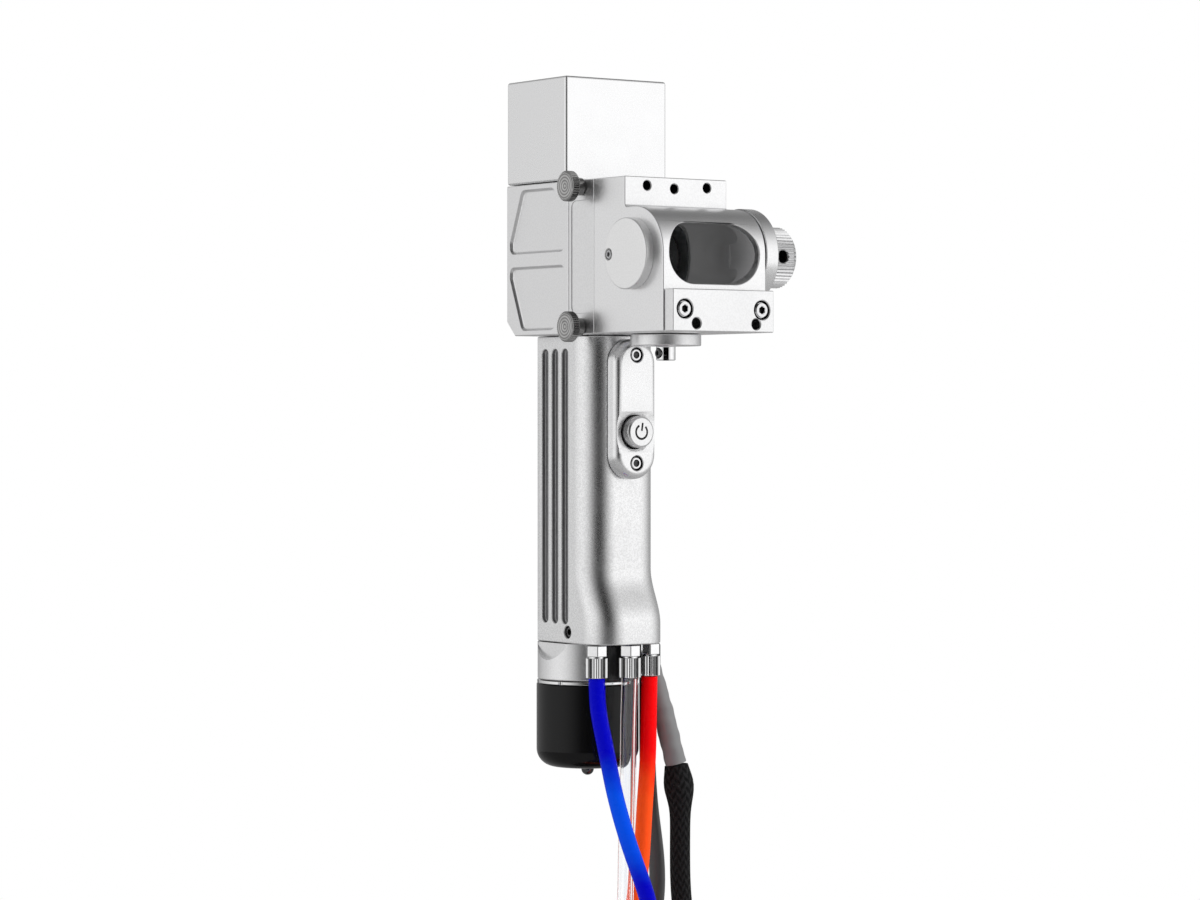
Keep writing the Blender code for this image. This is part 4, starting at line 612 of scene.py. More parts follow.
def swept(name, path, radius, sides=24, inner=None, radii=None, shape=None):
    """Tube along a path in millimetres, its ends closed, with a map called cord: u round it, v along it."""
    points = np.array(path, float)
    steps = np.diff(points, axis=0)
    legs = np.linalg.norm(steps, axis=1)
    heads = steps / legs[:, None]
    tangents = np.vstack([heads[:1], heads[:-1] + heads[1:], heads[-1:]])
    tangents /= np.linalg.norm(tangents, axis=1)[:, None]
    across = np.cross(tangents[0], (0.0, 1.0, 0.0))
    across /= np.linalg.norm(across)
    angles = np.arange(sides) * math.tau / sides
    along = np.concatenate(([0.0], np.cumsum(legs)))
    rings = []
    for i, (point, tangent) in enumerate(zip(points, tangents)):
        across = across - tangent * across.dot(tangent)
        across /= np.linalg.norm(across)
        other = np.cross(tangent, across)
        reach = (radii[i] if radii is not None else radius) * np.ones(sides)
        if shape:
            reach = reach + shape(angles / math.tau, along[i])
        rings.append(point + reach[:, None] * (np.cos(angles)[:, None] * across + np.sin(angles)[:, None] * other))
    walls = [rings]
    if inner:
        walls.append([points[i] + (ring - points[i]) * inner / radius for i, ring in enumerate(rings)])
    edit = bmesh.new()
    uv = edit.loops.layers.uv.new("cord")
    made = [[[edit.verts.new(p) for p in ring] for ring in wall] for wall in walls]
    for wall in made:
        for i in range(len(wall) - 1):
            for j in range(sides):
                k = (j + 1) % sides
                face = edit.faces.new((wall[i][j], wall[i][k], wall[i + 1][k], wall[i + 1][j]))
                for loop, (u, v) in zip(face.loops, ((j, i), (j + 1, i), (j + 1, i + 1), (j, i + 1))):
                    loop[uv].uv = (u / sides, along[v])
    for end in (0, -1):
        if inner:
            for j in range(sides):
                k = (j + 1) % sides
                edit.faces.new((made[0][end][j], made[0][end][k], made[1][end][k], made[1][end][j]))
        else:
            edit.faces.new(made[0][end])
    tube = link(name, edit)
    return smooth(tube, 50, weighted=False)


HANK_TOP = -230.0
LAYER_SPACE = 0.2
# Stretches that hang free, from the head to the top of each hank, as the solids have them
ROUTES = {
    "blue_hose": (
        (-11.8, -22.5, -68.5), (-11.8, -23.2, -78.0), (-11.7, -25.6, -87.0), (-11.3, -28.5, -96.7),
        (-11.1, -32.1, -107.6), (-10.7, -37.0, -119.6), (-10.3, -43.5, -131.9), (-11.0, -53.0, -146.0),
        (-13.8, -60.0, -160.0), (-19.0, -63.7, -174.0), (-26.2, -64.5, -187.0), (-33.0, -64.5, -198.5),
        (-36.0, -64.5, -208.8)),
    "clear_hose": (
        (-0.5, -27.4, -68.5), (-1.1, -27.5, -83.5), (-1.6, -27.8, -101.6), (-2.7, -28.6, -119.7),
        (-4.1, -30.0, -133.9), (-6.4, -32.8, -148.5), (-10.3, -37.2, -162.0), (-16.6, -42.0, -175.5),
        (-25.0, -44.7, -187.5), (-32.5, -45.3, -198.5), (-36.0, -45.3, -208.8)),
    "red_hose": (
        (11.9, -22.5, -68.5), (11.8, -22.3, -80.5), (11.3, -22.2, -100.0), (9.8, -22.7, -113.7),
        (8.2, -23.6, -126.4), (6.4, -24.8, -137.0), (3.3, -26.0, -149.1), (-2.0, -26.1, -161.5),
        (-10.0, -26.1, -174.0), (-20.3, -26.1, -185.2), (-30.5, -26.1, -196.3), (-36.0, -26.1, -208.8)),
    "control_cable": (
        (26.45, -19.45, -102.2), (27.6, -19.8, -111.5), (28.0, -19.8, -123.8), (28.4, -19.2, -137.6),
        (29.8, -18.4, -153.0), (33.0, -18.4, -170.0), (36.6, -18.5, -188.0), (38.0, -18.5, -205.6)),
    "interlock_cable": (
        (21.609, -7.865, -69.6), (21.609, -7.865, -86.0), (21.8, -7.9, -102.1), (23.3, -7.9, -120.1),
        (25.9, -7.4, -135.2), (28.2, -5.2, -147.0), (30.1, -1.2, -158.0), (31.2, 4.2, -169.0),
        (31.2, 9.2, -179.0), (30.6, 12.1, -190.0), (30.0, 12.6, -200.0), (30.0, 12.6, -210.6)),
}


def free_cord(name, node, hank, diameter, radii, layers, straight, side, material, slot, plug=None, make=None):
    """One cord of its real length: the free stretch, then its hank."""
    route = ROUTES[node]
    layer_step = diameter + LAYER_SPACE
    plug_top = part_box(plug["node"])[1][2] / MM if plug else None
    wound = winding(radii, layers, route[-1][1], side * layer_step, straight, side, plug_top)
    lead = [tuple(np.array(route[-1]) + (np.array((side * radii[0], route[-1][1], HANK_TOP))
                                         - np.array(route[-1])) * k / 3) for k in (1, 2, 3)]
    coarse = spline_through(route, length_of(route) / 34) + lead + wound
    fine = spline_through(route, 2.0) + lead + wound
    cord = (make or swept)(name, fine, diameter / 2)
    dress(cord, "head", material, slot, node, hank)
    [tuple(c * MM for c in point) for point in coarse]
    return cord


def hollow_hose(name, path, radius):
    return swept(name, path, radius, inner=2.0)


def sleeved_cable(name, path, radius):
    """Cable whose plaited sleeve swells where it is gathered under the boot."""
    along = np.concatenate(([0.0], np.cumsum(np.linalg.norm(np.diff(np.array(path), axis=0), axis=1))))
    return swept(name, path, radius, radii=radius + 1.8 * np.exp(-((along - 7.5) / 7.0) ** 2))


def cable_plug(name, node, teeth):
    """Round cable plug: ribbed boot, knurled coupling nut and a bright shell with its socket."""
    low, high = (Vector(corner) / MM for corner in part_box(node))
    centre = ((low.x + high.x) / 2, (low.y + high.y) / 2)
    radius = (high.x - low.x) / 2
    top, end, boot = high.z, low.z, radius * 0.55
    profile = [(0, top), (boot, top, 0.3)]
    nut = top - 12
    for k in range(5):
        z = top - 1.8 - k * 2.0
        profile += [(boot * 1.02, z), (boot * 0.86, z - 0.3), (boot * 0.86, z - 0.8), (boot * 1.02, z - 1.1)]
    shell = (end - nut) / 2 + nut
    profile += [(boot * 1.1, nut), (radius - 0.6, nut), (radius - 0.3, nut - 0.4), (radius - 0.3, shell + 0.5),
                (radius * 0.9, shell, 0.3), (radius * 0.9, end, 0.4), (radius * 0.76, end, 0.2),
                (radius * 0.76, end + 9, 0.2), (0, end + 9)]
    drum = lathe(name, shaped(profile), "Z", centre, 48)
    grip = knurl(name + "_knurl", "Z", centre, (nut + shell) / 2, radius, 0.34, abs(nut - shell) - 3, teeth)
    plug = unite(name, smooth(drum), grip)
    dress(plug, "head", NICKEL, "bright", node)
    plug["node"] = node
    pins = scattered(name + "_pins", rod("pin", "Z", (0, 0), 0.5, end + 2, end + 9.5, 12),
                     [(centre[0] + radius * 0.42 * math.cos(a), centre[1] + radius * 0.42 * math.sin(a), 0)
                      for a in (math.tau * k / 6 for k in range(6))])
    return [plug, dress(smooth(pins), "head", BRIGHT, "bright")]


def cords():
    control = cable_plug("control_connector", "control_plug", 40)
    interlock = cable_plug("interlock_connector", "interlock_plug", 34)
    hose = dict(diameter=6.0, radii=(36, 30, 24, 18), layers=3, straight=116, side=-1)
    free_cord("blue_tubing", "blue_hose", "blue_hank", material=BLUE_TUBE, slot="blue_hose", **hose)
    free_cord("red_tubing", "red_hose", "red_hank", material=RED_TUBE, slot="red_hose", **hose)
    free_cord("clear_tubing", "clear_hose", "clear_hank", material=CLEAR_TUBE, slot="clear_hose", make=hollow_hose,
              **hose)
    free_cord("control_lead", "control_cable", "control_hank", 7.6, (38, 30.4, 22.8), 4, 116, 1, BRAID, "braid",
              control[0], sleeved_cable)
    free_cord("interlock_lead", "interlock_cable", "interlock_hank", 6.0, (30, 24, 18), 4, 125, 1, GREY_JACKET,
              "grey_cable", interlock[0])
    repaint(WEBBING, "hank_tie")


# Shapes made from rounds and offsets

def corner_arc(before, here, after, radius, steps=5):
    before, here, after = Vector(before), Vector(here), Vector(after)
    to_before, to_after = (before - here).normalized(), (after - here).normalized()
    half = to_before.angle(to_after) / 2
    if radius <= 0 or half > math.radians(89):
        return [tuple(here)]
    reach = min(radius / math.tan(half), (before - here).length / 2.01, (after - here).length / 2.01)
    true_radius = reach * math.tan(half)
    centre = here + (to_before + to_after).normalized() * (true_radius / math.sin(half))
    first, last = here + to_before * reach - centre, here + to_after * reach - centre
    turn = first.angle_signed(last)
    return [tuple(centre + Matrix.Rotation(-turn * k / steps, 2) @ first) for k in range(steps + 1)]


def shaped(profile):
    """Profile in which a point's third number is the radius of its round."""
    found = []
    for i, point in enumerate(profile):
        if len(point) == 3:
            after = profile[(i + 1) % len(profile)]
            found += corner_arc(profile[i - 1][:2], point[:2], after[:2], point[2])
        else:
            found.append(tuple(point))
    return found


def grown(outline, by):
    """Closed outline moved outwards by a distance."""
    points = [Vector(p) for p in outline]
    area = sum(a.x * b.y - b.x * a.y for a, b in zip(points, points[1:] + points[:1]))
    turn = 1 if area > 0 else -1
    moved = []
    for i, here in enumerate(points):
        back, on = here - points[i - 1], points[(i + 1) % len(points)] - here
        outwards = Vector((back.y, -back.x)).normalized() + Vector((on.y, -on.x)).normalized()
        outwards = outwards.normalized() * turn
        share = max(0.5, outwards.dot(Vector((back.y, -back.x)).normalized()) * turn)
        moved.append(tuple(here + outwards * by / share))
    return moved


def sunk(name, outline, axis, mouth, floor, flare=0.3, fillet=0.3):
    """Cutter for a recess whose rim is broken by flare and whose floor has a round of radius fillet."""
    way = 1 if mouth > floor else -1
    steps = [(mouth + way * 1.0, flare + 1.0), (mouth, flare), (mouth - way * flare, 0)]
    for k in range(5):
        angle = math.pi / 2 * k / 4
        steps.append((floor + way * fillet * (1 - math.sin(angle)), -fillet * (1 - math.cos(angle))))
    loops = [[in_space(axis, along, p) for p in (grown(outline, by) if by else outline)] for along, by in steps]
    return loft(name, loops)


def bore(name, axis, centre, radius, mouth, end, flare=0.2, sides=SMALL):
    """Cutter for a round hole with a broken edge at its mouth."""
    way = 1 if mouth > end else -1
    profile = [(0, mouth + way), (radius + flare + 1, mouth + way), (radius + flare, mouth),
               (radius, mouth - way * flare), (radius, end), (0, end)]
    return lathe(name, profile, axis, centre, sides)


def ease(thing, width, segments=3, angle=32, where=None):
    """Round the sharp edges, or those of them that a test on their middle picks."""
    edit = bmesh.new()
    edit.from_mesh(thing.data)
    bmesh.ops.remove_doubles(edit, verts=edit.verts, dist=1e-7)
    chosen = [edge for edge in edit.edges if len(edge.link_faces) == 2
              and edge.calc_face_angle(0) > math.radians(angle)
              and (where is None or where((edge.verts[0].co + edge.verts[1].co) / 2 / MM))]
    bmesh.ops.bevel(edit, geom=chosen, offset=width * MM, offset_type="OFFSET", segments=segments, profile=0.5,
                    affect="EDGES", clamp_overlap=where is None)
    edit.to_mesh(thing.data)
    edit.free()
    return thing


def unite(name, *things):
    """One mesh of several, without cutting them into each other."""
    edit = bmesh.new()
    for thing in things:
        edit.from_mesh(thing.data)
        bpy.data.objects.remove(thing)
    mesh = bpy.data.meshes.new(name)
    edit.to_mesh(mesh)
    edit.free()
    whole = bpy.data.objects.new(name, mesh)
    bpy.context.scene.collection.objects.link(whole)
    return whole


def knurl(name, axis, centre, middle, radius, tooth, length, teeth):
    """Straight knurl on a drum, from the tree."""
    ring = KNURL.grow(name, Teeth=teeth, Radius=radius * MM, Tooth=tooth * MM, Length=length * MM, Finish=SATIN)
    turn = {"X": Matrix.Rotation(math.pi / 2, 4, "Y"), "Y": Matrix.Rotation(math.pi / 2, 4, "X"),
            "Z": Matrix.Identity(4)}[axis]
    ring.data.transform(Matrix.Translation(in_space(axis, middle, centre) * MM) @ turn)
    return ring


def scattered(name, fastener, places):
    """A fastener repeated at places, from the tree; it is made at the origin of the places."""
    mesh = bpy.data.meshes.new(name)
    mesh.from_pydata([tuple(Vector(place) * MM) for place in places], [], [])
    points = bpy.data.objects.new(name + "_points", mesh)
    whole = SET_ON_POINTS.grow(name, start=points, Fastener=fastener, Finish=SATIN)
    bpy.data.objects.remove(points)
    bpy.data.objects.remove(fastener)
    return whole


def socket_screw(name, axis, face, way, head, length, shank, reach, centre=(0, 0), socket=0.45):
    """Socket head screw: turned head with a chamfer, hexagon socket, shank. way is where the shank points."""
    seat = face + way * length
    screw = lathe(name, shaped([
        (0, face), (head * 0.84, face), (head, face + way * head * 0.16), (head, seat - way * 0.1),
        (shank, seat), (shank, seat + way * reach, 0.3), (0, seat + way * reach)]), axis, centre)
    across = head * socket
    corner = [(centre[0] + across * 1.155 * math.cos(a), centre[1] + across * 1.155 * math.sin(a))
              for a in (math.tau * (k + 0.5) / 6 for k in range(6))]
    carve(screw, prism("socket", corner, axis, face - way, face + way * length * 0.62),
          lathe("socket_lead", [(0, face - way * 0.2), (across * 1.28, face - way * 0.2),
                                (across * 1.12, face + way * 0.12), (0, face + way * 0.12)], axis, centre, SMALL))
    return smooth(screw)


# Finishes

SATIN = blasted("bead_blasted", (0.90, 0.90, 0.905), 0.34, 0.04, 0.006)
GRIP_SATIN = blasted("bead_blasted_grip", (0.88, 0.88, 0.885), 0.28, 0.10, 0.011, 1700)
PLATE_SATIN = blasted("bead_blasted_plate", (0.91, 0.91, 0.915), 0.28, 0.06, 0.008)
BRIGHT = blasted("bright_turned", (0.82, 0.82, 0.83), 0.20, 0.04, 0.004)
NICKEL = blasted("nickel_plate", (0.80, 0.80, 0.81), 0.13, 0.05, 0.004, 700)
SCREW_STEEL = blasted("screw_steel", (0.55, 0.55, 0.56), 0.26, 0.10, 0.004, 1400)
BLACK_ANODISED = blasted("black_anodised", (0.10, 0.10, 0.103), 0.42, 0.15, 0.010)
BLACK_GLOSS = moulded("black_cap", (0.004, 0.004, 0.0042), 0.14, 0.003, 500, 0.22)
BLACK_PLASTIC = moulded("black_block", (0.016, 0.016, 0.017), 0.45, 0.02)
SWITCH_PLASTIC = moulded("switch_plastic", (0.03, 0.03, 0.032), 0.4, 0.02)
BOARD_GREEN = moulded("board", (0.02, 0.16, 0.07), 0.4, 0.03, 600)
SEAL_RUBBER = moulded("seal_rubber", (0.28, 0.05, 0.03), 0.6, 0.02)
MARK = moulded("engraved_mark", (0.004, 0.004, 0.0042), 0.6, 0.01)
BLACK_OXIDE = blasted("black_oxide", (0.13, 0.13, 0.132), 0.24, 0.15, 0.004, 1400)
HUB_BRIGHT = blasted("bright_hub", (0.90, 0.90, 0.905), 0.10, 0.03, 0.002, 900)
# Painted shade: a near-black finish for the inside of holes, sockets and slits and for the roots of knurls, where shade
# falls.
HOLE_SHADE = blasted("painted_hole_shade", (0.09, 0.09, 0.092), 0.42, 0.3, 0.03, 900)
SHRINK = jacket("shrink_sleeve", (0.20, 0.20, 0.202), 0.36)
GREY_JACKET = jacket("grey_jacket", (0.062, 0.064, 0.066), 0.42)
BRAID = braid_finish()
WEBBING = webbing_finish()
BLUE_TUBE = tinted_hose("blue_tube", (0.0, 0.0, 0.46), (0.0, 0.07, 0.72), 68)
RED_TUBE = tinted_hose("red_tube", (0.92, 0.0, 0.002), (1.0, 0.085, 0.010), 6000)
CLEAR_TUBE = clear_hose_finish()
LENS_GLASS = finish("lens_glass", base_color=(0.93, 0.97, 1.0), transmission_weight=1.0, ior=1.46, coat_weight=0.5,
                    roughness=lambda s: s.band(s.noise(30, 2.0), 0.3, 0.7, 0.005, 0.02))
MIRROR_COAT = finish("mirror_coat", metallic=1.0,
                     base_color=lambda s: s.blend(s.noise(60, 2.0), (0.86, 0.80, 0.66), (0.92, 0.86, 0.72)),
                     roughness=lambda s: s.band(s.noise(200, 2.0), 0.3, 0.7, 0.02, 0.05))


# Head

def pocket(up):
    """Side pocket in (Y, Z), above the beam or below it."""
    web, rim = 2.65, 25.65
    corners = [(-17.5, web), (17.4, web), (17.4, web + 4.2), (9.8, rim), (-9.9, rim), (-17.5, rim - 7.6)]
    return rounded([(y, BEAM_Z + up * z) for y, z in corners], 2.6)


def upper_body():
    outline = [(BODY_BACK, HEAD_LOW + 5.3), (BODY_BACK - 5.3, HEAD_LOW), (BODY_FRONT, HEAD_LOW),
               (BODY_FRONT, HEAD_TOP), (BODY_BACK, HEAD_TOP)]
    body = ease(prism("pocketed_body", outline, "X", -HALF_WIDTH, HALF_WIDTH), 0.45)
    cutters = [sunk("pocket", pocket(up), "X", side * HALF_WIDTH, side * (HALF_WIDTH - 1.2), 0.3, 0.9)
               for side in (-1, 1) for up in (-1, 1)]
    cutters += [rod("mirror_room", "Z", (0, 0), 12, HEAD_LOW - 2, 98.3, FINE),
                rod("motor_bore", "Z", (0, 0), 9.3, BEAM_Z, HEAD_TOP + 2, FINE),
                rod("beam_way", "Y", (0, BEAM_Z), 11.4, BODY_FRONT - 2, 0, FINE),
                rod("lens_seat", "Y", (0, BEAM_Z), 12.6, BODY_FRONT - 2, BODY_FRONT + 11, FINE)]
    dress(smooth(carve(body, *cutters)), "head", SATIN, "satin", "main_body")


def cover():
    half, low, high = HALF_WIDTH - 0.1, HEAD_TOP + 0.3, 150.3
    box = ease(block("cover", (-half, -18.4, low), (half, BODY_BACK, high)), 1.0, 5)
    carve(box, block("inside", (-half + 2, -16.4, low - 2), (half - 2, BODY_BACK - 2, high - 2)))
    dress(smooth(box), "head", COVER_SATIN, "satin", "galvo_cover")


def nose_block():
    """Front block: upright flange with its three tapped holes, half-round nose, cross bore and window."""
    nose_top = BEAM_Z + NOSE_RADIUS
    outline = [(DRAWER_BACK, HEAD_TOP), (DRAWER_BACK, HEAD_LOW), (NOSE_FRONT, HEAD_LOW)]
    outline += arc((NOSE_Y, BEAM_Z), NOSE_RADIUS, 180, 90, 48)
    outline += arc((FLANGE_FRONT - 1.2, nose_top + 1.2), 1.2, 270, 360, 8) + [(FLANGE_FRONT, HEAD_TOP)]
    body = ease(prism("front_housing", outline, "X", -HALF_WIDTH, HALF_WIDTH), 0.45)
    window = stadium((0, BEAM_Z), 19.8, 10.8)
    cutters = [block("plate_rebate", (-HALF_WIDTH - 2, DRAWER_FRONT - 0.3, HEAD_LOW - 2),
                     (-18.4, DRAWER_BACK + 2, HEAD_TOP + 2)),
               block("tray_slot", (-20.7, DRAWER_Y - 5.3, BEAM_Z - 19.5), (17.9, DRAWER_Y + 5.3, BEAM_Z + 19.5)),
               rod("beam_bore", "Y", (0, BEAM_Z), 11.4, DRAWER_BACK + 2, NOSE_Y, FINE),
               rod("chamber", "X", (NOSE_Y, BEAM_Z), BORE_RADIUS, -HALF_WIDTH + 1.4, HALF_WIDTH + 2, FINE),
               rod("cap_way", "X", (CAP_Y, BEAM_Z), 11.7, -HALF_WIDTH - 2, -HALF_WIDTH + 3, FINE),
               prism("window", window, "Y", NOSE_FRONT - 2, NOSE_Y)]
    cutters += [bore("flange_hole", "Y", (x, HEAD_TOP - drop), 1.7, FLANGE_FRONT, FLANGE_FRONT + 8, 0.3)
                for x, drop in FLANGE_HOLES]
    for side in (-1, 1):
        cutters += [rod("bar_thread", "Y", (side * 17.0, 64.4), 1.8, NOSE_FRONT - 2, NOSE_FRONT + 8.3),
                    rod("thumb_thread", "X", (DRAWER_Y, BEAM_Z + side * 25.2), 2.3, -20.7, -11.4)]
    carve(body, *cutters)

    def on_rim(place):
        inside = abs(place.x) <= 9.0
        reach = abs(place.z - BEAM_Z) if inside else math.hypot(abs(place.x) - 9.0, place.z - BEAM_Z)
        depth = math.hypot(place.y - NOSE_Y, place.z - BEAM_Z) if place.z > BEAM_Z else NOSE_Y - place.y
        return abs(reach - 10.8) < 0.08 and depth > NOSE_RADIUS - 0.1

    ease(body, 0.5, 3, 20, on_rim)
    dress(smooth(body), "head", FRONT_SATIN, "satin", "front_block")
    # Painted shade: the near-black hole finish on the walls of the three flange holes.
    paint(body, HOLE_SHADE, near([(x, HEAD_TOP - drop) for x, drop in FLANGE_HOLES], 1.9, FLANGE_FRONT + 0.2,
                             FLANGE_FRONT + 9))


def chamber():
    """Dark liner of the cross bore, and the baffle behind its opening to the lens."""
    half, left = HALF_WIDTH - 0.3, -HALF_WIDTH + 1.6
    outer, inner = BORE_RADIUS - 0.3, BORE_RADIUS - 1.5
    floor, hollow = 19.2, 8.0
    bowl = [(along, radius) for radius, along in arc((floor - hollow, inner - hollow), hollow, 90, 0, 24)]
    liner = lathe("dark_liner", [(outer, left), (inner, left)] + bowl + [
        (0, floor), (0, floor + 0.9), (inner, floor + 0.9), (inner, half), (outer, half), (outer, left)], "X",
                  (NOSE_Y, BEAM_Z))
    carve(liner, prism("window", stadium((0, BEAM_Z), 20.1, 11.1), "Y", NOSE_FRONT - 2, NOSE_Y),
          rod("beam", "Y", (0, BEAM_Z), 11.4, NOSE_Y, NOSE_Y + 17, FINE))
    dress(smooth(ease(liner, 0.25, 2, 60)), "head", LINER_GREY, "dark", "chamber_liner")
    baffle = lathe("beam_stop", shaped([(11.1, -38, 0.2), (11.1, -42, 0.2), (8.5, -40, 0.15), (8.5, -38, 0.15)]),
                   "Y", (0, BEAM_Z), ring=True)
    dress(smooth(baffle), "head", BLACK_ANODISED, "dark", "beam_baffle")


def bore_cap():
    centre, face, end = (CAP_Y, BEAM_Z), -HALF_WIDTH - 0.05, -HALF_WIDTH - 3.5
    cap = lathe("bore_cap", shaped([
        (0, face + 1.3), (11.6, face + 1.3, 0.3), (11.6, face), (12.65, face, 0.1), (12.65, end, 0.5), (0, end)]),
                "X", centre, 128)
    place = (CAP_Y + 10.0, BEAM_Z)
    carve(cap, bore("screw_seat", "X", place, 2.0, end, end + 1.3, 0.25),
          rod("screw_way", "X", place, 1.2, end, end + 5))
    dress(smooth(cap), "head", CAP_SATIN, "satin", "side_cap")
    screw = socket_screw("bore_cap_screw", "X", end, 1, 1.7, 1.0, 0.9, 3.0, place)
    dress(screw, "head", SCREW_STEEL, "steel", "side_cap_screw")


def ring_and_knob():
    centre, face = (NOSE_Y, BEAM_Z), 23.0
    ring = lathe("bore_end_ring", shaped([
        (5.3, face - 2.6), (12.4, face - 2.6, 0.3), (12.4, face), (17.2, face, 0.3), (17.2, face + 5.7, 0.9),
        (7.2, face + 5.7, 0.3), (6.9, face + 5.2), (5.3, face + 5.2)]), "X", centre, 128, ring=True)
    dress(smooth(ring), "head", RING_SATIN, "satin", "end_ring")
    inner, outer = 29.0, 42.1
    drum = lathe("drum", shaped([
        (0, face - 2.6), (5, face - 2.6, 0.3), (5, inner), (9.9, inner, 0.4), (10.45, inner + 0.9),
        (10.45, inner + 6.0), (10.45, outer - 0.9), (9.9, outer, 0.4), (7.2, outer, 0.3), (6.7, outer - 0.8, 0.4),
        (0, outer - 0.8)]), "X", centre, FINE)
    carve(drum, bore("tommy_hole", "Y", ((inner + outer) / 2, BEAM_Z), 2.3, NOSE_Y - 10.45, NOSE_Y - 5, 0.3))
    drum = smooth(drum)
    teeth = knurl("teeth", "X", centre, (inner + outer) / 2, 11.0, 0.55, outer - inner - 1.9, 48)
    carve(teeth, rod("hole_clear", "Y", ((inner + outer) / 2, BEAM_Z), 2.6, NOSE_Y - 13, NOSE_Y - 8))
    knob = dress(unite("turning_knob", drum, teeth), "knob", KNOB_METAL, "bright", "knurled_knob")
    # Painted shade: the darker flute finish on the drum between the knurl teeth.
    paint(knob, FLUTE_SHADE, lambda c: inner + 1 < c.x < outer - 1 and 10.2 < math.hypot(c.y - NOSE_Y, c.z - BEAM_Z) < 10.55)
    # Painted shade: the near-black hole finish inside the tommy hole.
    paint(knob, HOLE_SHADE, near([((inner + outer) / 2, BEAM_Z)], 2.45, NOSE_Y - 10.25, NOSE_Y - 4.5))


def accessory_bar():
    bar = ease(block("accessory_bar", (-22.3, BAR_FRONT, HEAD_LOW), (22.3, BAR_BACK, BAR_TOP)), 0.45)
    cutters = [bore("bar_hole", "Y", (x, 59.4), 1.9, BAR_FRONT, BAR_BACK + 2, 0.35) for x in (-11.9, 14.4)]
    for x in (-17.0, 17.0):
        cutters += [bore("head_seat", "Y", (x, 64.4), 3.45, BAR_FRONT, BAR_FRONT + 3.1, 0.3),
                    rod("shank_way", "Y", (x, 64.4), 1.8, BAR_FRONT, BAR_BACK + 2)]
    dress(smooth(carve(bar, *cutters)), "head", BAR_SATIN, "satin", "front_bar")
    # Painted shade: the near-black hole finish inside the bar's holes and screw seats.
    paint(bar, HOLE_SHADE, near([(-11.9, 59.4), (14.4, 59.4), (-17.0, 64.4), (17.0, 64.4)], 3.5, BAR_FRONT + 0.25,
                            BAR_BACK + 2))
    screw = socket_screw("bar_screw", "Y", BAR_FRONT, 1, 2.85, 2.8, 1.5, 10.1, socket=0.44)
    screws = scattered("bar_screws", screw, [(-17.0, 0, 64.4), (17.0, 0, 64.4)])
    dress(screws, "head", NICKEL, "steel", "bar_screw_left", "bar_screw_right")
    # Painted shade: the near-black hole finish in the screws' hexagon sockets.
    paint(screws, HOLE_SHADE, near([(-17.0, 64.4), (17.0, 64.4)], 1.5, BAR_FRONT + 0.15, BAR_FRONT + 2.4))


def split_clamp():
    top, plate, end = 56.2, 52.1, 46.9
    clamp = lathe("split_clamp", shaped([
        (0, top), (12.7, top, 0.4), (12.7, plate, 0.4), (3.5, plate, 0.5), (3.5, end, 0.4), (0, end)]),
        "Z", (0, CLAMP_Y), 128)
    slit = block("slit", (-0.95, -12.7, end - 2), (0.95, 1.75, plate - 0.5))
    slit.data.transform(Matrix.Translation((0, CLAMP_Y * MM, 0)) @ Matrix.Rotation(math.radians(-35), 4, "Z"))
    carve(clamp, slit,
          rod("screw_seat", "X", (CLAMP_Y, 49.5), 2.0, -5.5, -2.5), rod("screw_way", "X", (CLAMP_Y, 49.5), 1.2, -2.8, 3))
    dress(smooth(clamp), "head", SATIN, "satin", "lower_clamp")
    paint(clamp, HUB_BRIGHT, lambda c: c.z < plate - 0.3 and math.hypot(c.x, c.y - CLAMP_Y) > 3.2)
    # Painted shade: the near-black hole finish on the hub's slit walls and screw hole.
    paint(clamp, HOLE_SHADE, lambda c: c.z < plate - 0.3 and math.hypot(c.x, c.y - CLAMP_Y) < 3.35 and c.z > end + 0.05)
    screw = socket_screw("clamp_screw", "X", -3.8, 1, 1.7, 1.0, 0.9, 3.5, (CLAMP_Y, 49.5))
    dress(screw, "head", BLACK_OXIDE, "steel", "lower_clamp_screw")


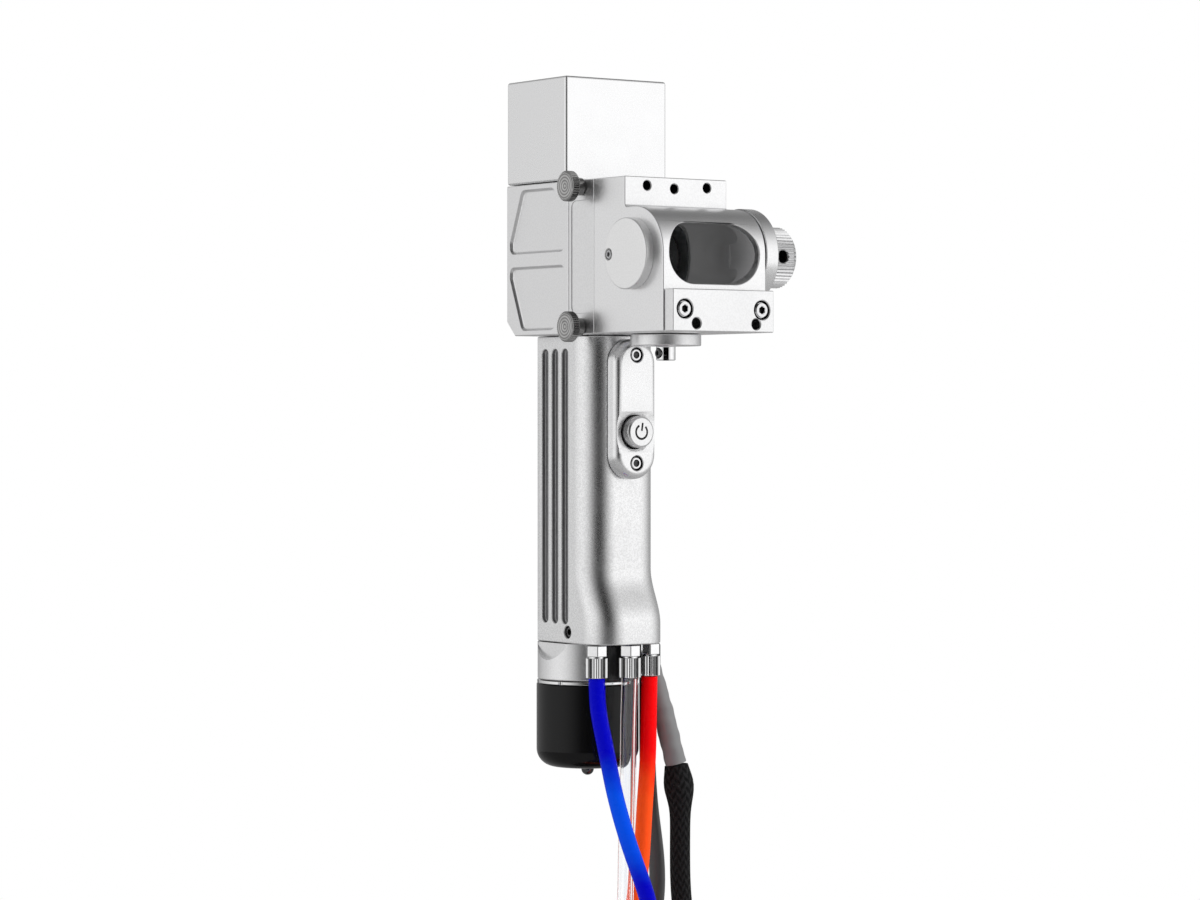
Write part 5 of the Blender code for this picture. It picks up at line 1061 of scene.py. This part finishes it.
def drawer():
    plate = ease(block("drawer", (-HALF_WIDTH, DRAWER_FRONT - 0.12, HEAD_LOW), (-18.7, DRAWER_BACK + 0.12, HEAD_TOP)),
                 0.35)
    tray = block("tray", (-20.7, DRAWER_Y - 5, BEAM_Z - 19.2), (17.6, DRAWER_Y + 5, BEAM_Z + 19.2))
    carve(plate, ease(tray, 0.4), operation="UNION")
    label = rounded([(DRAWER_Y + a * 6.2, BEAM_Z + b * 20.25) for a, b in ((-1, -1), (1, -1), (1, 1), (-1, 1))],
                    2.5, 12)
    cutters = [bore("lens_pocket", "Y", (0, BEAM_Z), 15.3, DRAWER_Y - 5, DRAWER_Y + 3.8, 0.3, FINE),
               rod("lens_lip", "Y", (0, BEAM_Z), 13.0, DRAWER_Y - 6, DRAWER_Y + 7, FINE),
               sunk("label_field", label, "X", -HALF_WIDTH, -HALF_WIDTH + 0.3, 0.14, 0.1)]
    cutters += [bore("thumb_way", "X", (DRAWER_Y, BEAM_Z + side * 25.2), 2.3, -HALF_WIDTH, -17.5, 0.25)
                for side in (-1, 1)]
    dress(smooth(carve(plate, *cutters)), "lens_drawer", SATIN, "satin", "lens_drawer")
    glass = lathe("window_glass", shaped([(0, -24.75), (15, -24.75, 0.25), (15, -29.75, 0.25), (0, -29.75)]), "Y",
                  (0, BEAM_Z))
    dress(smooth(glass), "lens_drawer", LENS_GLASS, "lens_glass", "protective_lens")
    low, high = (corner.y / MM for corner in map(Vector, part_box("lens_seal")))
    half = (high - low) / 2
    seal = lathe("seal_ring", arc((15 - half, (low + high) / 2), half, 0, 345, 23), "Y", (0, BEAM_Z), ring=True)
    dress(smooth(seal), "lens_drawer", SEAL_RUBBER, "seal", "lens_seal")
    low, high = (corner.y / MM for corner in map(Vector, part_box("lens_clamp_ring")))
    ring = lathe("lens_clamp", shaped([(15, high, 0.1), (15, low, 0.3), (13, low, 0.3), (13, high, 0.1)]), "Y",
                 (0, BEAM_Z), ring=True)
    slots = [block("spanner_slot", (side * 14 - 1.5, low - 1, BEAM_Z - 0.6), (side * 14 + 1.5, low + 0.8, BEAM_Z + 0.6))
             for side in (-1, 1)]
    dress(smooth(carve(ring, *slots)), "lens_drawer", BLACK_ANODISED, "dark", "lens_clamp_ring")


def thumb_screws():
    face, back, foot, end = -30.1, -26.5, -23.0, -11.7
    for label, body, side in (("top", "upper_thumb_screw", 1), ("bottom", "lower_thumb_screw", -1)):
        centre = (DRAWER_Y, BEAM_Z + side * 25.2)
        head = lathe("head", shaped([
            (0, face + 0.25), (1.2, face + 0.12), (2.6, face + 0.02, 0.2), (4.7, face, 0.25), (5.15, face + 0.45),
            (5.15, back - 0.45), (4.8, back, 0.2), (3.2, back, 0.3), (3.2, foot, 0.2), (2, foot), (2, end, 0.4),
            (0, end)]), "X", centre, FINE)
        teeth = knurl("teeth", "X", centre, (face + back) / 2, 5.5, 0.38, back - face - 0.95, 44)
        screw = unite(f"thumb_knob_{label}", smooth(head), teeth)
        dress(screw, body, THUMB_METAL[side], "steel", f"thumb_screw_{label}")
        # Painted shade: the near-black hole finish on the head between the knurl teeth.
        paint(screw, HOLE_SHADE, lambda c: face + 0.6 < c.x < back - 0.6
              and 4.9 < math.hypot(c.y - centre[0], c.z - centre[1]) < 5.2)


# Grip

def grip_front(forward, radius, steps=30):
    """The grip's flat front between its two round edges."""
    reach = GRIP_HALF - FRONT_EDGE
    left = arc((-reach, FRONT_EDGE_Y - forward), radius, 180, 270, steps)
    return left + arc((reach, FRONT_EDGE_Y - forward), radius, 270, 360, steps)


def grip_outline(height):
    span = min(max((-29.0 - height) / 20.0, 0.0), 1.0)
    corner = math.degrees(math.acos(GRIP_HALF / 18.5))
    return arc((0, 0), 18.5, corner, 180 - corner, 40) + grip_front(6.0 * span * span * (3 - 2 * span), FRONT_EDGE)


def grip():
    loops = []
    for height, by in ([(GRIP_LOW, -0.5), (GRIP_LOW + 0.15, -0.15), (GRIP_LOW + 0.5, 0)]
                       + [(-49 + 20 * k / 24, 0) for k in range(25)]
                       + [(-20 + 9 * k, 0) for k in range(8)]
                       + [(GRIP_TOP - 0.5, 0), (GRIP_TOP - 0.15, -0.15), (GRIP_TOP, -0.5)]):
        outline = grip_outline(height)
        loops.append([(x, y, height) for x, y in (grown(outline, by) if by else outline)])
    shell = loft("fluted_grip", loops)
    cutters = [rod("bore", "Z", (0, 0), 13.3, GRIP_LOW - 2, GRIP_TOP + 2, FINE),
               rod("wire_channel", "Z", (0, -18.4), 2.4, GRIP_LOW - 2, BUTTON_Z),
               rod("switch_pocket", "Y", (0, BUTTON_Z), 6.3, -16.3, PLATE_FRONT, FINE),
               bore("set_screw_hole", "X", (-9.9, -52.0), 2.25, -GRIP_HALF, -2, 0.25)]
    for side in (-1, 1):
        cutters.append(rod("plate_thread", "Y", (0, PLATE_Z + side * 19.65), 1.8, PLATE_FRONT, -21.4))
        for y in (-8.25, -1.9, 4.45):
            cutters.append(sunk("flute", stadium((y, 1.25), 1.95, 50.25), "X", side * GRIP_HALF,
                                side * (GRIP_HALF - 1.5), 0.25, 0.5))
    dress(smooth(carve(shell, *cutters)), "head", GRIP_SATIN, "satin", "grip_shell")
    # Painted shade: the darker flute finish on the floors of the flutes.
    paint(shell, FLUTE_SHADE, lambda c: 14.3 < abs(c.x) < 15.7 and -10.4 < c.y < 6.5 and -49.1 < c.z < 51.6)
    # Painted shade: the near-black hole finish inside the set screw's hole.
    paint(shell, HOLE_SHADE, lambda c: -15.8 < c.x < -13.5 and math.hypot(c.y + 9.9, c.z + 52) < 2.4)
    outer = -GRIP_HALF + 0.8
    screw = lathe("set_screw", shaped([(0, outer), (1.95, outer, 0.3), (1.95, outer + 4.4, 0.3), (0, outer + 4.4)]),
                  "X", (-9.9, -52.0))
    corner = [(-9.9 + 1.25 * math.cos(a), -52 + 1.25 * math.sin(a)) for a in (math.tau * k / 6 for k in range(6))]
    carve(screw, prism("socket", corner, "X", outer - 1, outer + 2.2))
    dress(smooth(screw), "head", BLACK_OXIDE, "steel", "grip_screw")


def switch():
    """Switch plate with its shoulders, scoop and screws, a black strip in the gap under it that paints the shadow
    there, and the power button with its mark.
    """
    shoulder, foot = 2.7, -25.5
    outline = stadium((0, PLATE_Z), 9.1, 25.5, 48)
    loops = []
    for k in range(10):
        angle = math.pi / 2 * k / 9
        inwards, depth = shoulder * (1 - math.sin(angle)), shoulder * (1 - math.cos(angle))
        loops.append([(x, PLATE_FRONT + depth, z) for x, z in grown(outline, -inwards)])
    loops += [[(x, foot - 0.2, z) for x, z in outline], [(x, foot, z) for x, z in grown(outline, -0.2)]]
    plate = loft("switch_saddle", loops)
    cutters = [rod("scoop", "X", (PLATE_FRONT + 0.9 - 33.8, BUTTON_Z), 33.8, -12, 12, 256),
               bore("button_bore", "Y", (0, BUTTON_Z), 6.3, PLATE_FRONT + 0.85, foot + 2, 0.3, FINE)]
    for side in (-1, 1):
        place = (0, PLATE_Z + side * 19.65)
        cutters += [bore("screw_seat", "Y", place, 2.75, PLATE_FRONT, PLATE_FRONT + 1.4, 0.25),
                    rod("screw_way", "Y", place, 1.8, PLATE_FRONT, foot + 2)]
    dress(smooth(carve(plate, *cutters)), "head", PLATE_SATIN, "satin", "switch_plate")
    # Painted shade: a black strip set into the gap under the plate stands for the shadow in that gap.
    shade_strip = prism("switch_gasket", grown(outline, -0.8), "Y", foot + 0.02, -18)
    cutters = [prism("saddle", grip_front(0, FRONT_EDGE + 0.03), "Z", -10, 60),
               rod("button_way", "Y", (0, BUTTON_Z), 6.3, foot - 2, -12, FINE)]
    cutters += [rod("screw_way", "Y", (0, PLATE_Z + side * 19.65), 1.8, foot - 2, -12) for side in (-1, 1)]
    dress(smooth(carve(shade_strip, *cutters)), "head", BLACK_PLASTIC, "black_plastic")
    screw = socket_screw("plate_screw", "Y", PLATE_FRONT + 0.3, 1, 2.3, 0.8, 1.5, 8.4, socket=0.5)
    screws = scattered("plate_screws", screw, [(0, 0, PLATE_Z - 19.65), (0, 0, PLATE_Z + 19.65)])
    dress(screws, "head", NICKEL, "steel", "plate_screw_top", "plate_screw_bottom")
    places = [(0, PLATE_Z + side * 19.65) for side in (-1, 1)]
    # Painted shade: the near-black hole finish in the screws' sockets and in the plate's screw seats and holes.
    paint(screws, HOLE_SHADE, near(places, 1.4, PLATE_FRONT + 0.33, PLATE_FRONT + 1.2))
    paint(plate, HOLE_SHADE, near(places, 2.8, PLATE_FRONT + 0.2, foot + 2))
    face, back = -34.0, -29.5
    button = lathe("push_button", shaped([
        (0, face), (5.0, face, 0.3), (5.75, face + 0.5, 0.4), (5.75, back, 0.2), (2.5, back), (2.5, back + 4.5, 0.3),
        (0, back + 4.5)]), "Y", (0, BUTTON_Z), FINE)
    symbol = arc((0, BUTTON_Z), 2.9, 113, 409, 40) + arc((0, BUTTON_Z), 2.1, 409, 113, 40)
    lean = math.radians(9)
    stroke = [(x * math.cos(lean) + z * math.sin(lean), BUTTON_Z + z * math.cos(lean) - x * math.sin(lean))
              for x, z in ((-0.4, 0.4), (0.4, 0.4), (0.4, 3.4), (-0.4, 3.4))]
    carve(button, prism("ring_groove", symbol, "Y", face - 1, face + 0.12),
          prism("stroke_groove", rounded(stroke, 0.2, 4), "Y", face - 1, face + 0.12))
    dress(smooth(button), "button", BUTTON_METAL, "bright", "power_button")
    fills = [prism("ring_fill", symbol, "Y", face + 0.02, face + 0.3),
             prism("stroke_fill", rounded(stroke, 0.2, 4), "Y", face + 0.02, face + 0.3)]
    dress(unite("power_mark", *fills), "button", MARK, "black_plastic")


# Lower end

def receptacle():
    collar = lathe("fibre_collar", shaped([
        (11.3, COLLAR_LOW, 0.3), (18.5, COLLAR_LOW, 0.5), (18.5, COLLAR_TOP), (13.0, COLLAR_TOP, 0.2),
        (13.0, -39.8, 0.3), (11.3, -39.8, 0.3)]), "Z", (0, 0), 128, ring=True)
    flats = [rod("flat", "X", (0, -52.0), 10.6, side * GRIP_HALF, side * 20.5, 128) for side in (-1, 1)]
    dress(smooth(carve(collar, *flats)), "head", COLLAR_SATIN, "satin", "fibre_receptacle")
    ring = lathe("bayonet_ring", shaped([(13.5, -70.3, 0.1), (18.7, -70.3, 0.25), (18.7, -71.5, 0.25),
                                         (13.5, -71.5, 0.1)]), "Z", (0, 0), 128, ring=True)
    notches = [rod("notch", "Z", (18.7 * math.cos(a), 18.7 * math.sin(a)), 0.9, -75, -68, 24)
               for a in (math.tau * (k + 0.5) / 8 for k in range(8))]
    dress(smooth(carve(ring, *notches)), "lock_ring", RING_BRIGHT, "bright", "lock_ring")
    corner = arc((18.9 - 6.6, -102.4 + 6.6), 6.6, 0, -90, 20)
    cap = lathe("rubber_cap", shaped([(0, -57.9), (10.8, -57.9, 0.5), (10.8, -71.7), (18.9, -71.7, 0.4),
                                      corner[0]]) + corner[1:] + [(0, -102.4)], "Z", (0, 0), 160)
    carve(cap, rod("stud_way", "Z", (0, 0), 1.5, -104, -96.1))
    dress(smooth(cap), "dust_cap", BLACK_GLOSS, "black_gloss", "dust_cap")
    top = -102.7
    dome = [(2.3 * math.cos(a), top - 3.2 * (0.3 + 0.7 * math.sin(a))) for a in (math.pi / 32 * i for i in range(16))]
    stud = lathe("cap_rivet", [(0, -96.4), (1.2, -96.4), (1.2, top), (2.3, top)] + dome + [(0, top - 3.2)], "Z",
                 (0, 0), 48)
    dress(smooth(stud), "dust_cap", BLACK_OXIDE, "steel", "cap_stud")


def hose_fittings():
    top, joint, low = -56.4, -60.4, -68.2
    for name, x, y in (("blue", -11.8, -22.5), ("clear", -0.5, -27.4), ("red", 11.9, -22.5)):
        nut = ease(prism("nut", [(x + 4.04 * math.cos(a), y + 4.04 * math.sin(a))
                                 for a in (math.tau * k / 6 for k in range(6))], "Z", joint, top), 0.3)
        crown = lathe("crown", [(0, joint - 1), (3.4, joint - 1), (4.15, joint + 0.35), (4.15, top - 0.35),
                                (3.75, top), (0, top)], "Z", (x, y), SMALL)
        carve(nut, crown, operation="INTERSECT")
        sleeve = lathe("sleeve", shaped([(0, joint + 0.2), (2.9, joint + 0.2), (2.9, joint - 0.5), (3.55, joint - 0.7),
                                         (3.55, low, 0.25), (3.05, low, 0.1), (3.05, low + 1.5), (0, low + 1.5)]),
                       "Z", (x, y), 64)
        ribs = knurl("ribs", "Z", (x, y), (joint - 0.5 + low) / 2, 3.9, 0.35, joint - low - 0.75, 24)
        fitting = unite(f"{name}_push_fitting", smooth(nut), smooth(sleeve), ribs)
        dress(fitting, "head", FITTING_METAL, "bright", f"{name}_fitting")
        # Painted shade: the near-black hole finish on the sleeve between the ribs.
        paint(fitting, HOLE_SHADE, lambda c: low + 0.4 < c.z < joint - 0.6 and 3.3 < math.hypot(c.x - x, c.y - y) < 3.6)


def entries():
    block_in = ease(block("wire_entry", (-7, -22.8, -69.8), (7, -18.8, -56.4)), 0.5)
    dress(smooth(block_in), "head", BLACK_PLASTIC, "black_plastic", "entry_block")
    outlet = ease(block("cable_outlet", (18.8, -3.8, -69.3), (27.2, 3.8, -57.3)), 0.8, 4)
    outlet.data.transform(Matrix.Rotation(math.radians(-20), 4, "Z"))
    dress(smooth(outlet), "head", BLACK_PLASTIC, "black_plastic", "side_outlet")
    rows = ((14.4, -16, -56.4, 2.2), (14.4, -16, -59, 2.3), (17.2, -15.5, -64.5, 3.6), (19.6, -16.1, -73, 4.05),
            (21.9, -17.3, -82.1, 4.05), (24.1, -18.4, -92, 4.05), (26.3, -19.4, -101.6, 4.05))
    path = spline_through([row[:3] for row in rows], 0.8)
    heights = [row[2] for row in rows][::-1]
    radii = [float(np.interp(z, heights, [row[3] for row in rows][::-1])) - 0.02 for _, _, z in path]

    def creases(u, v):
        fold = np.sin(math.tau * (u * 2 + v / 9.0)) * 0.10 + np.sin(math.tau * (u - v / 5.2 + 0.3)) * 0.07
        return (fold - 0.17) * min(1.0, max(0.0, (v - 6) / 8))

    boot = swept("shrink_boot", path, 4.05, 48, radii=radii, shape=creases)
    dress(boot, "head", SHRINK, "shrink", "cable_boot")


# Inside, where the solids' own shapes stay

def hidden_parts():
    repaint(BLACK_ANODISED, "galvo_motor", "focus_lens_ring", "collimator_barrel", "collimator_ring")
    repaint(SCREW_STEEL, "galvo_shaft")
    repaint(MIRROR_COAT, "galvo_mirror")
    repaint(LENS_GLASS, "focus_lens", "collimator_lens")
    repaint(BOARD_GREEN, "driver_board")
    repaint(SWITCH_PLASTIC, "switch_body")


# Stage

def level(tree, direction):
    """Brightness of the studio all round: a wide panel on the left, a dark gap where the camera stands, a broad
    panel in front and to the right, dim sides and back, and a dim ceiling and ground."""
    x, y, z = tree.parts(direction)
    turn = x.maths("ARCTAN2", y * -1.0) / math.tau + 0.5
    stops = [((azimuth + 180) / 360, (tone, tone, tone)) for azimuth, tone in STUDIO_ROUND]
    round_it = tree.add("ShaderNodeValToRGB", {"stops": stops}, {"Fac": turn}).out("Color")
    return round_it * (1.0 - tree.band(z, 0.25, 0.90) * 0.67) * (1.0 - tree.band(z * -1.0, 0.30, 0.85) * 0.66)


def studio():
    world = bpy.data.worlds.new("studio")
    bpy.context.scene.world = world
    tree = Shader(world)
    direction = tree.add("ShaderNodeTexCoord").out("Generated")
    path = tree.add("ShaderNodeLightPath")
    seen = (path.out("Is Camera Ray") + path.out("Is Transmission Ray")).maths("MINIMUM", 1.0)
    glossy = path.out("Is Glossy Ray")
    lit = glossy * level(tree, direction) + (1.0 - glossy) * 0.78
    strength = seen + (1.0 - seen) * lit
    tree.feed(tree.nodes["Background"].inputs["Strength"], strength)
    tree.feed(tree.nodes["Background"].inputs["Color"], (1, 1, 1, 1))
    floor = lathe("studio_floor", [(0, -416.0), (1700, -416.0), (1700, -420.0), (0, -420.0)], "Z", (0, 0), 128)
    # Painted reflection: the floor's colour drops from 0.86 to 0.38 for rays that metal reflects, a painted dark ground
    # in the metal's reflections.
    floor.data.materials.append(finish(
        "pale_floor", specular_ior_level=0.2,
        base_color=lambda s: s.blend(s.add("ShaderNodeLightPath").out("Is Glossy Ray"), (0.86, 0.86, 0.86),
                                     (0.38, 0.38, 0.38)),
        roughness=lambda s: s.band(s.noise(40, 3.0), 0.3, 0.7, 0.75, 0.9),
        normal=lambda s: s.bump(s.noise(60, 2.0), 0.02)))
    for name, place, size, power in (("right_panel", (1300, -1200, 600), 900, 18),
                                     ("left_panel", (-1500, -200, 500), 900, 5)):
        lamp = bpy.data.lights.new(name, "AREA")
        lamp.size, lamp.energy = size * MM, power
        thing = bpy.data.objects.new(name, lamp)
        thing.location = Vector(place) * MM
        thing.rotation_euler = (-Vector(place)).to_track_quat("-Z", "Y").to_euler()
        thing.visible_glossy = False
        bpy.context.scene.collection.objects.link(thing)
    bpy.context.scene.view_settings.view_transform = "Standard"


# Studio's brightness by azimuth in degrees, 0 in front of the head and 90 on its right
STUDIO_ROUND = ((-180, 0.42), (-160, 0.60), (-145, 0.69), (-128, 0.84), (-105, 0.98), (-88, 0.90), (-73, 0.66),
                (-60, 0.34), (-49, 0.08), (-34, 0.0), (-21, 0.05), (-9, 0.30), (2, 0.62), (14, 0.88), (26, 1.06),
                (36, 1.12), (55, 1.02), (72, 0.80), (90, 0.52), (110, 0.36), (135, 0.36), (160, 0.38), (180, 0.42))
COVER_SATIN = blasted("bead_blasted_cover", (0.93, 0.93, 0.935), 0.26, 0.02, 0.003)
FRONT_SATIN = blasted("bead_blasted_front", (0.95, 0.95, 0.955), 0.32, 0.04, 0.006)
CAP_SATIN = blasted("bead_blasted_cap", (0.99, 0.99, 0.99), 0.38, 0.03, 0.006)
RING_SATIN = blasted("turned_ring", (0.92, 0.92, 0.925), 0.28, 0.04, 0.005)
BAR_SATIN = blasted("bead_blasted_bar", (0.92, 0.92, 0.925), 0.32, 0.04, 0.006)
COLLAR_SATIN = blasted("bead_blasted_collar", (0.88, 0.88, 0.885), 0.30, 0.05, 0.007)
# Painted shade: a darker copy of the grip's finish for the flute floors and the roots of the knob's knurl, where shade
# falls.
FLUTE_SHADE = blasted("painted_flute_shade", (0.44, 0.44, 0.445), 0.36, 0.10, 0.010)
LINER_GREY = moulded("grey_liner", (0.42, 0.42, 0.425), 0.40, 0.01)
RING_BRIGHT = blasted("bright_ring", (0.84, 0.84, 0.845), 0.16, 0.04, 0.003)
BUTTON_METAL = blasted("button_metal", (0.90, 0.90, 0.905), 0.30, 0.04, 0.006)
KNOB_METAL = blasted("knob_metal", (0.82, 0.82, 0.825), 0.24, 0.06, 0.006)
FITTING_METAL = blasted("fitting_nickel", (0.90, 0.90, 0.905), 0.08, 0.03, 0.002, 700)
THUMB_METAL = {side: turned_metal(f"thumb_steel_{side}", (0.60, 0.595, 0.59), 0.18, "X",
                                  (DRAWER_Y, BEAM_Z + side * 25.2), 0.42, 0.035) for side in (-1, 1)}
KNURL = knurl_tree()
SET_ON_POINTS = scatter_tree()

set_camera()
cords()
studio()
upper_body()
cover()
nose_block()
chamber()
bore_cap()
ring_and_knob()
accessory_bar()
split_clamp()
drawer()
thumb_screws()
grip()
switch()
receptacle()
hose_fittings()
entries()
hidden_parts()
